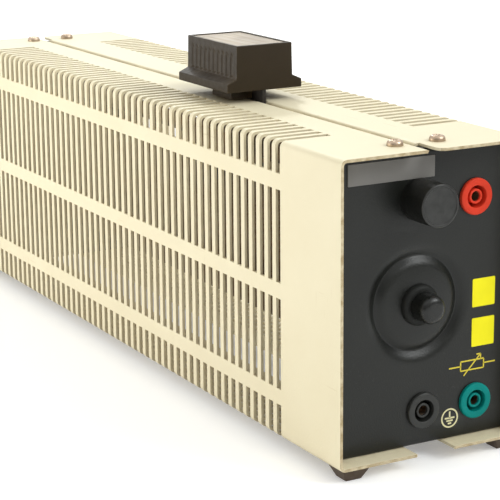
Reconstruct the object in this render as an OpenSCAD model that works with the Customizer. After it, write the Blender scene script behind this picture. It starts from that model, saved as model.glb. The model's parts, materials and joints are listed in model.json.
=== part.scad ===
/* [Casing] */
// Width across both covers
case_w = 86; // [84:1:106]
// Distance of the tube and slider axis left of the casing's middle
axis_shift = 3; // [0:0.5:4]
// Height of the covers
case_h = 120; // [108:1:140]
// Length of the covers
case_l = 380; // [320:2:460]
// Thickness of the cover sheet
sheet_t = 1.2; // [0.8:0.1:1.5]
// Outside radius of the cover bends
bend_r = 2.5; // [2:0.5:5]
// Width of the slot that the slider runs in
slider_gap = 2.4; // [2.2:0.1:3.6]
// Depth of the lips along that slot
lip_h = 6; // [4:0.5:7]
// Length at each end where the lips stop short
lip_stop = 14; // [12:1:20]
// Depth of the relief cut beside the slot in the left cover's ends
left_relief = 0.5; // [0.2:0.1:3]
// Depth of the relief cut beside the slot in the right cover's ends
right_relief = 2; // [0.2:0.1:3]
// Radius of the left cover's corners beside the slot
left_tip_r = 1; // [0.5:0.5:5]
// Radius of the right cover's corners beside the slot
right_tip_r = 4; // [0.5:0.5:5]
// Width of the left cover's floor flange
left_floor_w = 35; // [31:0.5:38]
// Width of the right cover's floor flange
right_floor_w = 33.5; // [31:0.5:38]

/* [Vent slots] */
// Width of one slot
vent_w = 3.4; // [2:0.1:4.5]
// Distance between slot centres
vent_pitch = 6.3; // [5.6:0.1:9]
// Plain length before the first slot centre
vent_front = 46; // [36:1:60]
// Least plain length behind the last slot centre
vent_rear = 37; // [30:1:60]
// Reach of the left corner slots over the top and the floor
left_vent_wrap = 23; // [10:0.5:25]
// Reach of the right corner slots over the top and the floor
right_vent_wrap = 25; // [10:0.5:27]
// Reach of the top corner slots down the side
vent_drop = 12.7; // [8:0.1:16]
// Reach of the bottom corner slots up the side
vent_rise = 13.9; // [8:0.1:16]
// Plain band between the rows
vent_band = 6.5; // [4:0.5:10]

/* [End plates] */
// Distance of the plates behind the cover edges
plate_inset = 8.6; // [7:0.2:9]
// Thickness of the plates
plate_t = 1.2; // [1:0.1:1.5]
// Gap between a plate and the cover sides
plate_gap = 0.2; // [0.1:0.1:0.5]
// Depth of the folded flanges
flange_d = 14; // [10:1:18]
// Radius of the pressed ring groove
bead_r = 18.9; // [17:0.1:20]
// Width of the groove
bead_w = 3.6; // [3:0.1:4.4]
// Depth of the groove
bead_depth = 1.6; // [1:0.1:2]
// Height of the raised boss inside the groove
boss_h = 2.2; // [1.6:0.1:3]
// Rounding of the boss edge
boss_round = 1.5; // [0.8:0.1:1.6]

/* [Resistor tube] */
// Height of the tube axis above the middle between the lower sockets and the carriage
tube_up = 0.65; // [-2:0.05:2.5]
// Wall of the ceramic tube
tube_wall = 3.7; // [3:0.1:4.5]
// Diameter of the resistance wire
wire_d = 2.4; // [1.6:0.1:3]
// Distance between turns
turn_pitch = 2.5; // [2.4:0.1:4]
// Thickness of the gaskets at the tube ends
gasket_t = 2; // [1:0.5:3]
// Width of the terminal bands
band_w = 8; // [6:0.5:10]
// Thickness of the terminal bands
band_t = 0.8; // [0.6:0.1:1.2]
// Plain tube beyond each band
band_end = 6; // [4:0.5:9]
// Length of the clamp ears on the bands
ear_l = 12; // [11:0.5:13]

/* [Rods] */
// Distance of the guide rod below the top of the covers
rod_drop = 20.5; // [19:0.5:22]
// Diameter of the guide rod
rod_d = 8; // [6:0.5:9]
// Diameter of the guide rod end caps
rod_cap_d = 16.7; // [16:0.1:20]
// Length of the guide rod end caps
rod_cap_l = 14.2; // [12:0.1:18]
// Diameter of the bush that insulates the guide rod
bush_d = 13; // [11:0.5:14]
// Diameter of the tie rod through the tube
tie_d = 6; // [5:0.5:7]
// Diameter of the tie rod collars
collar_d = 15.6; // [14:0.1:18]
// Thickness of the tie rod collars
collar_t = 2.5; // [1.5:0.1:4]
// Diameter of the domed cap nuts
cap_nut_d = 11.4; // [10:0.1:13]
// Length of the domed cap nuts
cap_nut_l = 8.6; // [8:0.1:11]

/* [Sockets] */
// Offset of the slider socket from the tube axis
red_x = 25.9; // [24:0.1:28]
// Distance of the slider socket below the top of the covers
red_drop = 22.2; // [20:0.1:24]
// Offset of the winding sockets from the tube axis
black_x = 2.9; // [0:0.1:4]
// Offset of the earth socket from the tube axis
earth_x = 27.4; // [25:0.1:29]
// Height of the lower sockets above the cover floor
low_z = 15.2; // [14:0.1:17]
// Diameter of the socket rims
rim_d = 14.5; // [13.5:0.1:16]
// Thickness of the socket rims
rim_t = 1.4; // [1.2:0.1:3]
// Diameter of the socket barrels
barrel_d = 12; // [11:0.5:12.5]
// Length of the socket barrels behind the plate face
barrel_l = 18; // [16:0.5:20]
// Diameter of the plug that a socket takes
plug_d = 4; // [4:0.1:4.2]

/* [Slider] */
// Place of the slider along the casing
slider_y = -40.7; // [-120:0.1:120]
// Length of the knob
knob_l = 45.5; // [40:0.5:56]
// Width of the knob above its base
knob_w = 27.4; // [24:0.2:34]
// Width of the knob base
knob_base_w = 36.5; // [35:0.5:44]
// Height of the knob top above the covers
knob_top = 24.8; // [22:0.1:30]
// Height of the knob base above the covers
knob_lift = 5.1; // [4:0.1:7]
// Length of the skid under the knob
skid_l = 17.5; // [12:0.5:24]
// Width of the skid
skid_w = 16.6; // [12:0.2:24]
// Number of finger grooves on each side
grip_n = 10; // [6:1:11]
// Length of the carriage
carriage_l = 40; // [34:1:44]
// Width of the carriage
carriage_w = 34; // [32:0.5:34]
// Offset of the contact brushes from the tube axis
brush_x = 11; // [10.5:0.1:11.5]
// Diameter of the contact brushes
brush_d = 6; // [5:0.5:6.5]

/* [Feet and screws] */
// Height of the feet
foot_h = 5; // [4:0.5:8]
// Width of a foot at the top
foot_w = 12; // [10:0.5:13]
// Width of a foot at the bottom
foot_tip_w = 7; // [5:0.5:10]
// Distance of the cover screws from the cover ends
screw_end = 14.1; // [12:0.1:16]
// Offset of the left top screws from the tube axis
left_screw_x = 7.6; // [7:0.1:12]
// Offset of the right top screws from the tube axis
right_screw_x = 11.6; // [8:0.1:13]
// Offset of the floor screws from the tube axis
floor_screw_x = 20; // [18:0.5:21]

/* [Hidden] */
$fn = 96;

// Overshoot of a cut past the face that it opens
over = 1;
// Radial clearance of a shaft that slides or is screwed in its bore
run_fit = 0.05;
// Clearance between pieces that pass each other
pass_gap = 0.3;

// Reach of each cover from the tube axis
left_half = case_w / 2 - axis_shift;
right_half = case_w / 2 + axis_shift;

// Heights of the guide rod and of the slider socket
rod_z = case_h - rod_drop;
red_z = case_h - red_drop;

// Rows of vent slots on the cover sides
vent_n = floor((case_l - vent_front - vent_rear) / vent_pitch) + 1;
vent_row_h = (case_h - vent_drop - vent_rise - 3 * vent_band) / 2;
vent_low = vent_rise + vent_band;
vent_high = vent_low + vent_row_h + vent_band;

// Faces of the end plates
face_y = case_l / 2 - plate_inset;
inner_y = face_y - plate_t;
plate_w = case_w - 2 * (sheet_t + plate_gap);
plate_h = case_h - 2 * sheet_t;
flange_w = case_w - 2 * (bend_r + plate_gap);
flange_notch_w = slider_gap + 2 * (sheet_t + pass_gap);
flange_web = lip_stop - plate_inset - pass_gap;
screw_y = case_l / 2 - screw_end;

// Section of the ring groove: an arc as wide and deep as the groove
groove_r = (bead_w * bead_w / 4 + bead_depth * bead_depth) / (2 * bead_depth);
groove_c = groove_r - bead_depth;
ridge_r = groove_r + plate_t;
ridge_reach = sqrt(ridge_r * ridge_r - (plate_t + groove_c) * (plate_t + groove_c));
groove_land = 0.4;
boss_r = bead_r - bead_w / 2 - groove_land;
boss_recess_r = boss_r - boss_round - plate_t / 2;

// Height of the tube axis, in the space between the lower socket nuts and the carriage
nut_land = 1.5;
socket_nut_af = barrel_d + 2 * nut_land;
carriage_wall = 2.5;
carriage_under = rod_d / 2 + carriage_wall;
tube_z = (low_z + socket_nut_af / 2 + rod_z - carriage_under) / 2 + tube_up;

// Tube, winding and bands
tube_ir = bead_r + ridge_reach + pass_gap;
tube_or = tube_ir + tube_wall;
tube_half = inner_y - gasket_t;
band_y = tube_half - band_end - band_w / 2;
winding_gap = 2;
winding_half = band_y - band_w / 2 - winding_gap;
winding_r = tube_or + wire_d;
turn_n = floor(2 * winding_half / turn_pitch);
turn_length = turn_n * turn_pitch;
ear_tilt = -45;
ear_gap = 2;
ear_bolt = ear_l - 4;
band_screw_d = 3;
band_head_d = 5.5;
band_head_t = 2;
band_nut_t = 2.4;

// Rods and what is on their ends
bush_land = 1.5;
bush_flange_d = bush_d + 2 * bush_land;
bush_flange_t = 2;
tag_t = 0.8;
rod_tag_land = 3;
rod_tag_d = rod_d + 2 * rod_tag_land;
rod_tag_reach = 13;
rod_tag_w = 5;
rod_tag_tilt = 55;
rod_nut_land = 2.5;
rod_nut_af = rod_d + 2 * rod_nut_land;
rod_nut_t = 5;
rod_reach = rod_cap_l - 4.7;
rod_cap_round = 0.6;
bush_in = plate_t + bush_flange_t;
tie_reach = cap_nut_l - 2.6;
end_room = 0.5;
cap_round = 3.5;

// Sockets, from the plate face outwards
rim_round = 0.6;
post_d = plug_d + 2;
well_d = post_d + 2.8;
well_floor = barrel_l - 4;
sleeve_d = plug_d + 0.8;
sleeve_mouth = rim_t - 1.8;
post_mouth = rim_t - 0.8;
sleeve_bore = barrel_l - 2;
sleeve_end = barrel_l + 2;
tail_d = 2.4;
tail_l = 6;
tail_end = sleeve_end + tail_l;
socket_nut_t = 4;

// Slider, heights above the covers and about the rod
knob_edge_h = 3.6;
knob_slope_h = 2;
knob_draft = 0.3;
knob_rim = 2;
inlay_t = 0.8;
inlay_depth = 1.2;
grip_margin = 2;
grip_w = 1.8;
grip_depth = 0.9;
grip_low = knob_lift + knob_edge_h + knob_slope_h + 0.6;
grip_high = knob_top - 3.5;
skid_x = -2.7;
skid_y = -4;
stem_t = slider_gap - 0.8;
blade_l = knob_l - 1;
tongue_l = 17;
tongue_in = 6;
tongue_up = knob_lift + tongue_in;
stem_base_w = 12;
stem_base_l = 28;
stem_base_t = 3;
stem_screw_x = 3.6;
stem_screw_y = 10;
stem_screw_d = 3;
stem_head_d = 4.8;
stem_head_t = 1.5;
carriage_cover = 4;
carriage_over = rod_d / 2 + carriage_cover;
carriage_top = rod_z + carriage_over;
stem_screw_deep = carriage_over - rod_d / 2 - 1;
brush_top = rod_z - 1;
brush_cap_in = 3;
brush_cap_d = brush_d + 2.4;
brush_cap_t = 1.5;
spring_low = brush_top + pass_gap;
spring_high = carriage_top - brush_cap_in - pass_gap;
spring_wire = 0.7;
spring_d = brush_d - 1.6;
spring_turns = 4;

// Cover screws
screw_d = 3;
screw_hole = 3.3;
screw_head_d = 7.2;
screw_head_h = 2.2;
screw_len = 8;
recess_w = 0.9;
recess_l = 4;
recess_deep = 1.2;
foot_side = 1.8;
foot_front = 0.3;

// Earth stud on the front plate's lower flange
stud_x = (black_x + earth_x) / 2;
stud_d = 4;
stud_l = 9;
stud_in = 8;
stud_y = inner_y - stud_in;
stud_foot = sheet_t + plate_t;
earth_tag_d = 8;
earth_tag_reach = 9;
earth_tag_w = 4;
earth_nut_af = 7;
earth_nut_t = 3.2;

// Leads: tail of a socket, then curves to the tag that it is joined to
lead_r = 1.25;
lead_sides = 8;
lead_steps = 12;
lead_stub = 1.5;
tail_y = tail_end - face_y;
lead_bend = 10;
rod_tag_hole = rod_tag_reach - 2;
rod_tag_end = [
    rod_tag_hole * cos(rod_tag_tilt), bush_in + tag_t - face_y,
    rod_z + rod_tag_hole * sin(rod_tag_tilt)
];
red_crest_in = 1.8;
red_crest_back = 3;
red_crest_up = 6;
red_crest = [
    red_x - red_crest_in, tail_y - red_crest_back, red_z + barrel_d / 2 + red_crest_up
];
red_start = [red_x, tail_y, red_z];
black_start = [black_x, tail_y, low_z];
earth_start = [earth_x, tail_y, low_z];
earth_end = [stud_x, -stud_y + earth_tag_reach - 1.6, stud_foot + tag_t];
// Outer face of the lower clamp ear, where the winding lead is soldered
ear_face = ear_gap / 2 + band_t;
ear_joint = tube_or + 3.2;
ear_way = [cos(ear_tilt), 0, -sin(ear_tilt)];
ear_end = [
    -ear_face * cos(ear_tilt) - ear_joint * sin(ear_tilt), -band_y,
    tube_z + ear_face * sin(ear_tilt) - ear_joint * cos(ear_tilt)
];

function vent_y(i) = vent_front + i * vent_pitch - case_l / 2;

// Points on a cubic curve through two ends and towards two handles
function curve(a, b, c, d, n) = [
    for (i = [0 : n])
        let (t = i / n, s = 1 - t)
        s * s * s * a + 3 * s * s * t * b + 3 * s * t * t * c + t * t * t * d
];

// A lead that leaves each end straight, along the way given there
function lead_path(a, way_a, b, way_b, handle) = concat(
    [a],
    curve(a + lead_stub * way_a, a + handle * way_a, b + handle * way_b, b + lead_stub * way_b,
          2 * lead_steps),
    [b]
);

function unit(v) = v / norm(v);

// Direction of a path at one of its points
function heading(p, i) = unit(p[min(i + 1, len(p) - 1)] - p[max(i - 1, 0)]);

// A direction square to the path, near the one before it
function square_to(way, near) = unit(near - (near * way) * way);

function path_sides(p, i, near) =
    let (side = square_to(heading(p, i), near))
    i == len(p) - 1 ? [side] : concat([side], path_sides(p, i + 1, side));

// A round bar swept along a path
module swept_bar(path, r, sides, near) {
    n = len(path);
    across = path_sides(path, 0, near);
    points = [
        for (i = [0 : n - 1])
            let (u = across[i], v = cross(heading(path, i), u))
            for (k = [0 : sides - 1])
                path[i] + r * cos(360 * k / sides) * u + r * sin(360 * k / sides) * v
    ];
    walls = [
        for (i = [0 : n - 2], k = [0 : sides - 1])
            let (m = (k + 1) % sides, a = i * sides, b = a + sides)
            each [[a + k, b + k, b + m], [a + k, b + m, a + m]]
    ];
    ends = [
        [for (k = [0 : sides - 1]) k],
        [for (k = [sides - 1 : -1 : 0]) (n - 1) * sides + k]
    ];
    polyhedron(points, concat(walls, ends), convexity = 4);
}

// Places a piece drawn about the tube axis and above the cover floor in the casing
module in_case() {
    translate([-axis_shift, 0, foot_h]) children();
}

// Turns a drawing in X and Z into a bar along Y about the middle
module along_y(length) {
    translate([0, length / 2, 0]) rotate([90, 0, 0]) linear_extrude(length) children();
}

// Puts a piece on the front plate's face, its own Z pointing outwards
module on_front(x, z) {
    translate([x, -face_y, z]) rotate([90, 0, 0]) children();
}

module on_rear(x, z) {
    mirror([0, 1, 0]) on_front(x, z) children();
}

// A rectangle with round corners that stands on the X axis
module rounded_rect(w, h, r) {
    translate([-w / 2, r]) square([w, h - 2 * r]);
    translate([r - w / 2, 0]) square([w - 2 * r, h]);
    for (x = [r - w / 2, w / 2 - r], y = [r, h - r]) translate([x, y]) circle(r);
}

// Half the section of a disc with one rounded rim, to be revolved
module disc_half(r, h, round_r) {
    square([r - round_r, h]);
    square([r, h - round_r]);
    translate([r - round_r, h - round_r]) intersection() {
        circle(round_r);
        square(round_r);
    }
}

module hex_nut(af, bore, t) {
    difference() {
        cylinder(d = af / cos(30), h = t, $fn = 6);
        translate([0, 0, -over]) cylinder(d = bore + 2 * run_fit, h = t + 2 * over);
    }
}

// Section of one cover, drawn for the right-hand side, that reaches half from the axis
module cover_section(half, floor_w) {
    lip_x = slider_gap / 2;
    flange_x = lip_x + sheet_t;
    difference() {
        rounded_rect(2 * half, case_h, bend_r);
        translate([0, sheet_t])
            rounded_rect(2 * (half - sheet_t), case_h - 2 * sheet_t, bend_r - sheet_t);
        translate([-half - over, case_h / 2]) square([half + over + flange_x, case_h]);
        translate([-half - over, -case_h / 2]) square([2 * half + over - floor_w, case_h]);
    }
    translate([lip_x, case_h - lip_h]) square([sheet_t, lip_h - sheet_t]);
    intersection() {
        translate([flange_x, case_h - sheet_t]) circle(sheet_t);
        translate([lip_x, case_h - sheet_t]) square(sheet_t);
    }
}

// One vent slot of each of the four rows
module vent_cuts(half, wrap) {
    corner_x = half - wrap;
    for (i = [0 : vent_n - 1]) translate([0, vent_y(i) - vent_w / 2, 0]) {
        translate([corner_x, 0, case_h - vent_drop])
            cube([wrap + over, vent_w, vent_drop + over]);
        translate([corner_x, 0, -over]) cube([wrap + over, vent_w, vent_rise + over]);
        for (z = [vent_low, vent_high]) translate([half - sheet_t - over, 0, z])
            cube([sheet_t + 2 * over, vent_w, vent_row_h]);
    }
}

// Cut that ends the lip, relieves the cover's edge and rounds its corner at one end
module tip_cut(relief, r) {
    lip_x = slider_gap / 2;
    translate([0, case_l / 2 - lip_stop, case_h - lip_h - over])
        cube([lip_x + sheet_t, lip_stop + over, lip_h + over - sheet_t]);
    translate([0, 0, case_h - lip_h]) linear_extrude(lip_h + over) {
        translate([0, case_l / 2 - lip_stop]) square([lip_x + relief, lip_stop + over]);
        translate([lip_x + relief, case_l / 2 - r]) difference() {
            translate([-over, 0]) square(r + over);
            translate([r, 0]) circle(r);
        }
    }
}

module cover(half, floor_w, wrap, screw_x, relief, tip_r) {
    difference() {
        along_y(case_l) cover_section(half, floor_w);
        vent_cuts(half, wrap);
        tip_cut(relief, tip_r);
        mirror([0, 1, 0]) tip_cut(relief, tip_r);
        for (y = [-screw_y, screw_y]) {
            translate([screw_x, y, case_h - sheet_t - over])
                cylinder(d = screw_hole, h = sheet_t + 2 * over);
            translate([floor_screw_x, y, -over]) cylinder(d = screw_hole, h = sheet_t + 2 * over);
        }
    }
}

module left_cover() {
    color("cornsilk") in_case() mirror([1, 0, 0])
        cover(left_half, left_floor_w, left_vent_wrap, left_screw_x, left_relief, left_tip_r);
}

module right_cover() {
    color("cornsilk") in_case()
        cover(right_half, right_floor_w, right_vent_wrap, right_screw_x, right_relief, right_tip_r);
}

// Tapered square foot, standing on the ground
module foot() {
    top_half = foot_w / 2;
    tip_half = foot_tip_w / 2;
    side = [[-tip_half, 0], [tip_half, 0], [top_half, foot_h], [-top_half, foot_h]];
    intersection() {
        along_y(foot_w) polygon(side);
        rotate([0, 0, 90]) along_y(foot_w) polygon(side);
    }
}

module feet() {
    x = case_w / 2 - foot_side - foot_w / 2;
    y = case_l / 2 - foot_front - foot_w / 2;
    color("#3a332d") for (sx = [-x, x], sy = [-y, y]) translate([sx, sy, 0]) foot();
}

// Pan-head screw with a cross recess, its head's seat at zero and the shank below
module pan_screw() {
    dome_r = (screw_head_d * screw_head_d / 4 + screw_head_h * screw_head_h) / (2 * screw_head_h);
    difference() {
        union() {
            translate([0, 0, -screw_len]) cylinder(d = screw_d, h = screw_len);
            intersection() {
                cylinder(d = screw_head_d, h = screw_head_h);
                translate([0, 0, screw_head_h - dome_r]) sphere(dome_r);
            }
        }
        for (turn = [0, 90]) rotate([0, 0, turn])
            translate([-recess_l / 2, -recess_w / 2, screw_head_h - recess_deep])
                cube([recess_l, recess_w, recess_deep + over]);
    }
}

module top_cover_screws() {
    color("silver") in_case()
        for (x = [-left_screw_x, right_screw_x], y = [-screw_y, screw_y])
            translate([x, y, case_h]) pan_screw();
}

module bottom_cover_screws() {
    color("silver") in_case()
        for (x = [-floor_screw_x, floor_screw_x], y = [-screw_y, screw_y])
            translate([x, y, 0]) mirror([0, 0, 1]) pan_screw();
}

// Half section of the ring ridge that the groove raises on the inner face
module ridge_half() {
    intersection() {
        translate([bead_r, groove_c]) circle(ridge_r);
        translate([0, -2 * ridge_r]) square([2 * bead_r, 2 * ridge_r - plate_t / 2]);
    }
}

// Front plate with folded flanges, pressed ring and boss, and holes for its sockets
module end_plate(sockets) {
    difference() {
        union() {
            translate([axis_shift, -inner_y, sheet_t]) rotate([90, 0, 0]) linear_extrude(plate_t)
                rounded_rect(plate_w, plate_h, bend_r - sheet_t + plate_gap);
            for (z = [sheet_t, case_h - sheet_t - plate_t])
                translate([axis_shift - flange_w / 2, -inner_y - plate_t / 2, z])
                    cube([flange_w, flange_d - plate_t / 2, plate_t]);
            on_front(0, tube_z) {
                rotate_extrude() ridge_half();
                translate([0, 0, -plate_t / 2]) cylinder(r = boss_r, h = plate_t / 2);
                rotate_extrude() disc_half(boss_r, boss_h, boss_round);
            }
        }
        on_front(0, tube_z) {
            rotate_extrude() translate([bead_r, groove_c]) circle(groove_r);
            translate([0, 0, -ridge_r]) cylinder(r = boss_recess_r, h = ridge_r + boss_h - plate_t);
            translate([0, 0, -ridge_r]) cylinder(d = tie_d + 4 * run_fit, h = 2 * ridge_r + boss_h);
        }
        on_front(0, rod_z) translate([0, 0, -plate_t - over])
            cylinder(d = bush_d + 2 * run_fit, h = plate_t + 2 * over);
        for (place = sockets) on_front(place[0], place[1]) translate([0, 0, -plate_t - over])
            cylinder(d = barrel_d + 2 * run_fit, h = plate_t + 2 * over);
        translate([-flange_notch_w / 2, -face_y + flange_web, case_h - sheet_t - plate_t - over])
            cube([flange_notch_w, flange_d, plate_t + 2 * over]);
        for (x = [-left_screw_x, right_screw_x])
            translate([x, -screw_y, case_h - sheet_t - plate_t - over])
                cylinder(d = screw_d + 2 * run_fit, h = plate_t + 2 * over);
        for (x = [-floor_screw_x, floor_screw_x]) translate([x, -screw_y, sheet_t - over])
            cylinder(d = screw_d + 2 * run_fit, h = plate_t + 2 * over);
    }
}

module front_end_plate() {
    color("#3a3c3a") in_case()
        end_plate([[red_x, red_z], [black_x, low_z], [earth_x, low_z]]);
}

module rear_end_plate() {
    color("#3a3c3a") in_case() mirror([0, 1, 0]) end_plate([[black_x, low_z]]);
}

// Ring about the tube axis, centred along Y
module tube_ring(inner_r, outer_r, length) {
    translate([0, -length / 2, tube_z]) rotate([-90, 0, 0]) difference() {
        cylinder(r = outer_r, h = length);
        translate([0, 0, -over]) cylinder(r = inner_r, h = length + 2 * over);
    }
}

module ceramic_tube() {
    color("#d8cdb8") in_case() tube_ring(tube_ir, tube_or, 2 * tube_half);
}

module tube_gaskets() {
    color("#e8e2d4") in_case() for (side = [-1, 1])
        translate([0, side * (tube_half + gasket_t / 2), 0])
            tube_ring(tube_ir, tube_or, gasket_t);
}

// Half section of the close-wound wire: a row of round turns on a common bed
module winding_half_section() {
    bed_r = tube_or + run_fit;
    translate([bed_r, 0]) square([wire_d / 2 - run_fit, turn_length]);
    for (i = [0 : turn_n - 1]) translate([tube_or + wire_d / 2, (i + 0.5) * turn_pitch])
        intersection() {
            circle(d = min(wire_d, turn_pitch));
            translate([0, -wire_d]) square(2 * wire_d);
        }
}

module resistance_winding() {
    color("#5a463a") in_case() translate([0, -turn_length / 2, tube_z]) rotate([-90, 0, 0])
        rotate_extrude() winding_half_section();
}

// Clamp band about the front end of the tube, with two ears for its bolt
module terminal_band() {
    band_ir = tube_or + run_fit;
    translate([0, -band_y, tube_z]) rotate([0, ear_tilt, 0]) difference() {
        along_y(band_w) difference() {
            union() {
                circle(band_ir + band_t);
                translate([-ear_face, -tube_or - ear_l]) square([2 * ear_face, ear_l]);
            }
            circle(band_ir);
            translate([-ear_gap / 2, -tube_or - ear_l - over]) square([ear_gap, ear_l + over]);
        }
        translate([-ear_face - over, 0, -tube_or - ear_bolt]) rotate([0, 90, 0])
            cylinder(d = band_screw_d + 2 * run_fit, h = 2 * (ear_face + over));
    }
}

module front_terminal_band() {
    color("#b9a46a") in_case() terminal_band();
}

module rear_terminal_band() {
    color("#b9a46a") in_case() mirror([0, 1, 0]) terminal_band();
}

// Bolt and nut through the ears of one band
module band_bolt() {
    translate([0, -band_y, tube_z]) rotate([0, ear_tilt, 0])
        translate([0, 0, -tube_or - ear_bolt]) rotate([0, 90, 0]) {
            translate([0, 0, ear_face]) cylinder(d = band_head_d, h = band_head_t);
            translate([0, 0, -ear_face - band_nut_t])
                cylinder(d = band_screw_d, h = 2 * ear_face + band_nut_t);
            translate([0, 0, -ear_face - band_nut_t]) hex_nut(band_head_d, band_screw_d, band_nut_t);
        }
}

module band_screws() {
    color("silver") in_case() {
        band_bolt();
        mirror([0, 1, 0]) band_bolt();
    }
}

module tie_rod() {
    half = face_y + boss_h + collar_t + tie_reach;
    color("silver") in_case() translate([0, -half, tube_z]) rotate([-90, 0, 0])
        cylinder(d = tie_d, h = 2 * half);
}

module collar() {
    translate([0, 0, boss_h]) difference() {
        rotate_extrude() disc_half(collar_d / 2, collar_t, rim_round);
        translate([0, 0, -over]) cylinder(d = tie_d + 2 * run_fit, h = collar_t + 2 * over);
    }
}

module tie_rod_collars() {
    color("#1c1c1c") in_case() {
        on_front(0, tube_z) collar();
        on_rear(0, tube_z) collar();
    }
}

// Domed nut with a blind hole for the tie rod
module cap_nut() {
    translate([0, 0, boss_h + collar_t]) difference() {
        rotate_extrude() disc_half(cap_nut_d / 2, cap_nut_l, cap_round);
        translate([0, 0, -over]) cylinder(d = tie_d + 2 * run_fit, h = tie_reach + end_room + over);
    }
}

module front_cap_nut() {
    color("#1c1c1c") in_case() on_front(0, tube_z) cap_nut();
}

module rear_cap_nut() {
    color("#1c1c1c") in_case() on_rear(0, tube_z) cap_nut();
}

module guide_rod() {
    half = face_y + rod_reach;
    color("#c9b36a") in_case() translate([0, -half, rod_z]) rotate([-90, 0, 0])
        cylinder(d = rod_d, h = 2 * half);
}

// Flanged bush that keeps the guide rod off the plate
module rod_bush() {
    difference() {
        union() {
            translate([0, 0, -plate_t]) cylinder(d = bush_d, h = plate_t);
            translate([0, 0, -bush_in]) cylinder(d = bush_flange_d, h = bush_flange_t);
        }
        translate([0, 0, -bush_in - over])
            cylinder(d = rod_d + 2 * run_fit, h = bush_in + 2 * over);
    }
}

module rod_bushes() {
    color("#2a2a2a") in_case() {
        on_front(0, rod_z) rod_bush();
        on_rear(0, rod_z) rod_bush();
    }
}

module rod_nuts() {
    color("#c9b36a") in_case() {
        on_front(0, rod_z) translate([0, 0, -bush_in - tag_t - rod_nut_t])
            hex_nut(rod_nut_af, rod_d, rod_nut_t);
        on_rear(0, rod_z) translate([0, 0, -bush_in - rod_nut_t])
            hex_nut(rod_nut_af, rod_d, rod_nut_t);
    }
}

// Flat ring with an ear, for a lead to be soldered on
module ring_tag(bore, d, reach, w) {
    difference() {
        union() {
            cylinder(d = d, h = tag_t);
            translate([0, -w / 2, 0]) cube([reach, w, tag_t]);
        }
        translate([0, 0, -over]) cylinder(d = bore + 2 * run_fit, h = tag_t + 2 * over);
    }
}

module rod_tag() {
    color("silver") in_case() on_front(0, rod_z) translate([0, 0, -bush_in - tag_t])
        rotate([0, 0, rod_tag_tilt]) ring_tag(rod_d, rod_tag_d, rod_tag_reach, rod_tag_w);
}

// Plain round cap over the end of the guide rod
module rod_cap() {
    difference() {
        rotate_extrude() disc_half(rod_cap_d / 2, rod_cap_l, rod_cap_round);
        translate([0, 0, -over])
            cylinder(d = rod_d + 2 * run_fit, h = rod_reach + end_room + over);
    }
}

module front_rod_cap() {
    color("#1c1c1c") in_case() on_front(0, rod_z) rod_cap();
}

module rear_rod_cap() {
    color("#1c1c1c") in_case() on_rear(0, rod_z) rod_cap();
}

// Insulated body of a safety socket: rim, barrel, and a post in a ring-shaped well
module socket_body() {
    rotate_extrude() difference() {
        union() {
            disc_half(rim_d / 2, rim_t, rim_round);
            translate([0, -barrel_l]) square([barrel_d / 2, barrel_l]);
        }
        translate([post_d / 2, -well_floor])
            square([(well_d - post_d) / 2, well_floor + rim_t + over]);
        translate([0, -barrel_l - over])
            square([sleeve_d / 2 + run_fit, barrel_l + over + sleeve_mouth]);
        translate([0, sleeve_mouth - over])
            square([plug_d / 2 + pass_gap, rim_t - sleeve_mouth + 2 * over]);
        translate([0, post_mouth]) square([post_d / 2 + pass_gap, rim_t]);
    }
}

module red_socket() {
    color("#e8412b") in_case() on_front(red_x, red_z) socket_body();
}

module black_socket() {
    color("#1c1c1c") in_case() on_front(black_x, low_z) socket_body();
}

module earth_socket() {
    color("#12a090") in_case() on_front(earth_x, low_z) socket_body();
}

module rear_socket() {
    color("#1c1c1c") in_case() on_rear(black_x, low_z) socket_body();
}

// Metal sleeve that takes the plug, with a solder tail behind it
module contact() {
    rotate_extrude() difference() {
        union() {
            translate([0, -sleeve_end]) square([sleeve_d / 2, sleeve_end + sleeve_mouth]);
            translate([0, -tail_end]) square([tail_d / 2, tail_end]);
        }
        translate([0, -sleeve_bore]) square([plug_d / 2, sleeve_bore + sleeve_mouth + over]);
    }
}

module socket_contacts() {
    color("#d8c48a") in_case() {
        on_front(red_x, red_z) contact();
        on_front(black_x, low_z) contact();
        on_front(earth_x, low_z) contact();
        on_rear(black_x, low_z) contact();
    }
}

module socket_nut() {
    translate([0, 0, -plate_t - socket_nut_t]) hex_nut(socket_nut_af, barrel_d, socket_nut_t);
}

module socket_nuts() {
    color("#2a2a2a") in_case() {
        on_front(red_x, red_z) socket_nut();
        on_front(black_x, low_z) socket_nut();
        on_front(earth_x, low_z) socket_nut();
        on_rear(black_x, low_z) socket_nut();
    }
}

// Lead from the slider socket over its barrel to the guide rod's tag
module red_lead() {
    ahead = [0, lead_bend, 0];
    stub = [0, lead_stub, 0];
    rise = curve(red_start + stub, red_start + ahead, red_crest + ahead, red_crest, lead_steps);
    fall = curve(red_crest, red_crest - ahead, rod_tag_end + ahead, rod_tag_end + stub, lead_steps);
    path = concat([red_start], rise, [for (i = [1 : lead_steps]) fall[i]], [rod_tag_end]);
    color("#a8281e") in_case() swept_bar(path, lead_r, lead_sides, [1, 0, 0]);
}

// Lead from a winding socket to the clamp ear of its band
module winding_lead() {
    path = lead_path(black_start, [0, 1, 0], ear_end, -ear_way, 1.4 * lead_bend);
    swept_bar(path, lead_r, lead_sides, [1, 0, 0]);
}

module black_lead() {
    color("#222222") in_case() winding_lead();
}

module rear_lead() {
    color("#222222") in_case() mirror([0, 1, 0]) winding_lead();
}

module earth_lead() {
    path = lead_path(earth_start, [0, 1, 0], earth_end, [0, 0, 1], lead_bend);
    color("#3d8a3a") in_case() swept_bar(path, lead_r, lead_sides, [1, 0, 0]);
}

module earth_stud() {
    color("silver") in_case() translate([stud_x, -stud_y, stud_foot])
        cylinder(d = stud_d, h = stud_l);
}

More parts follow.
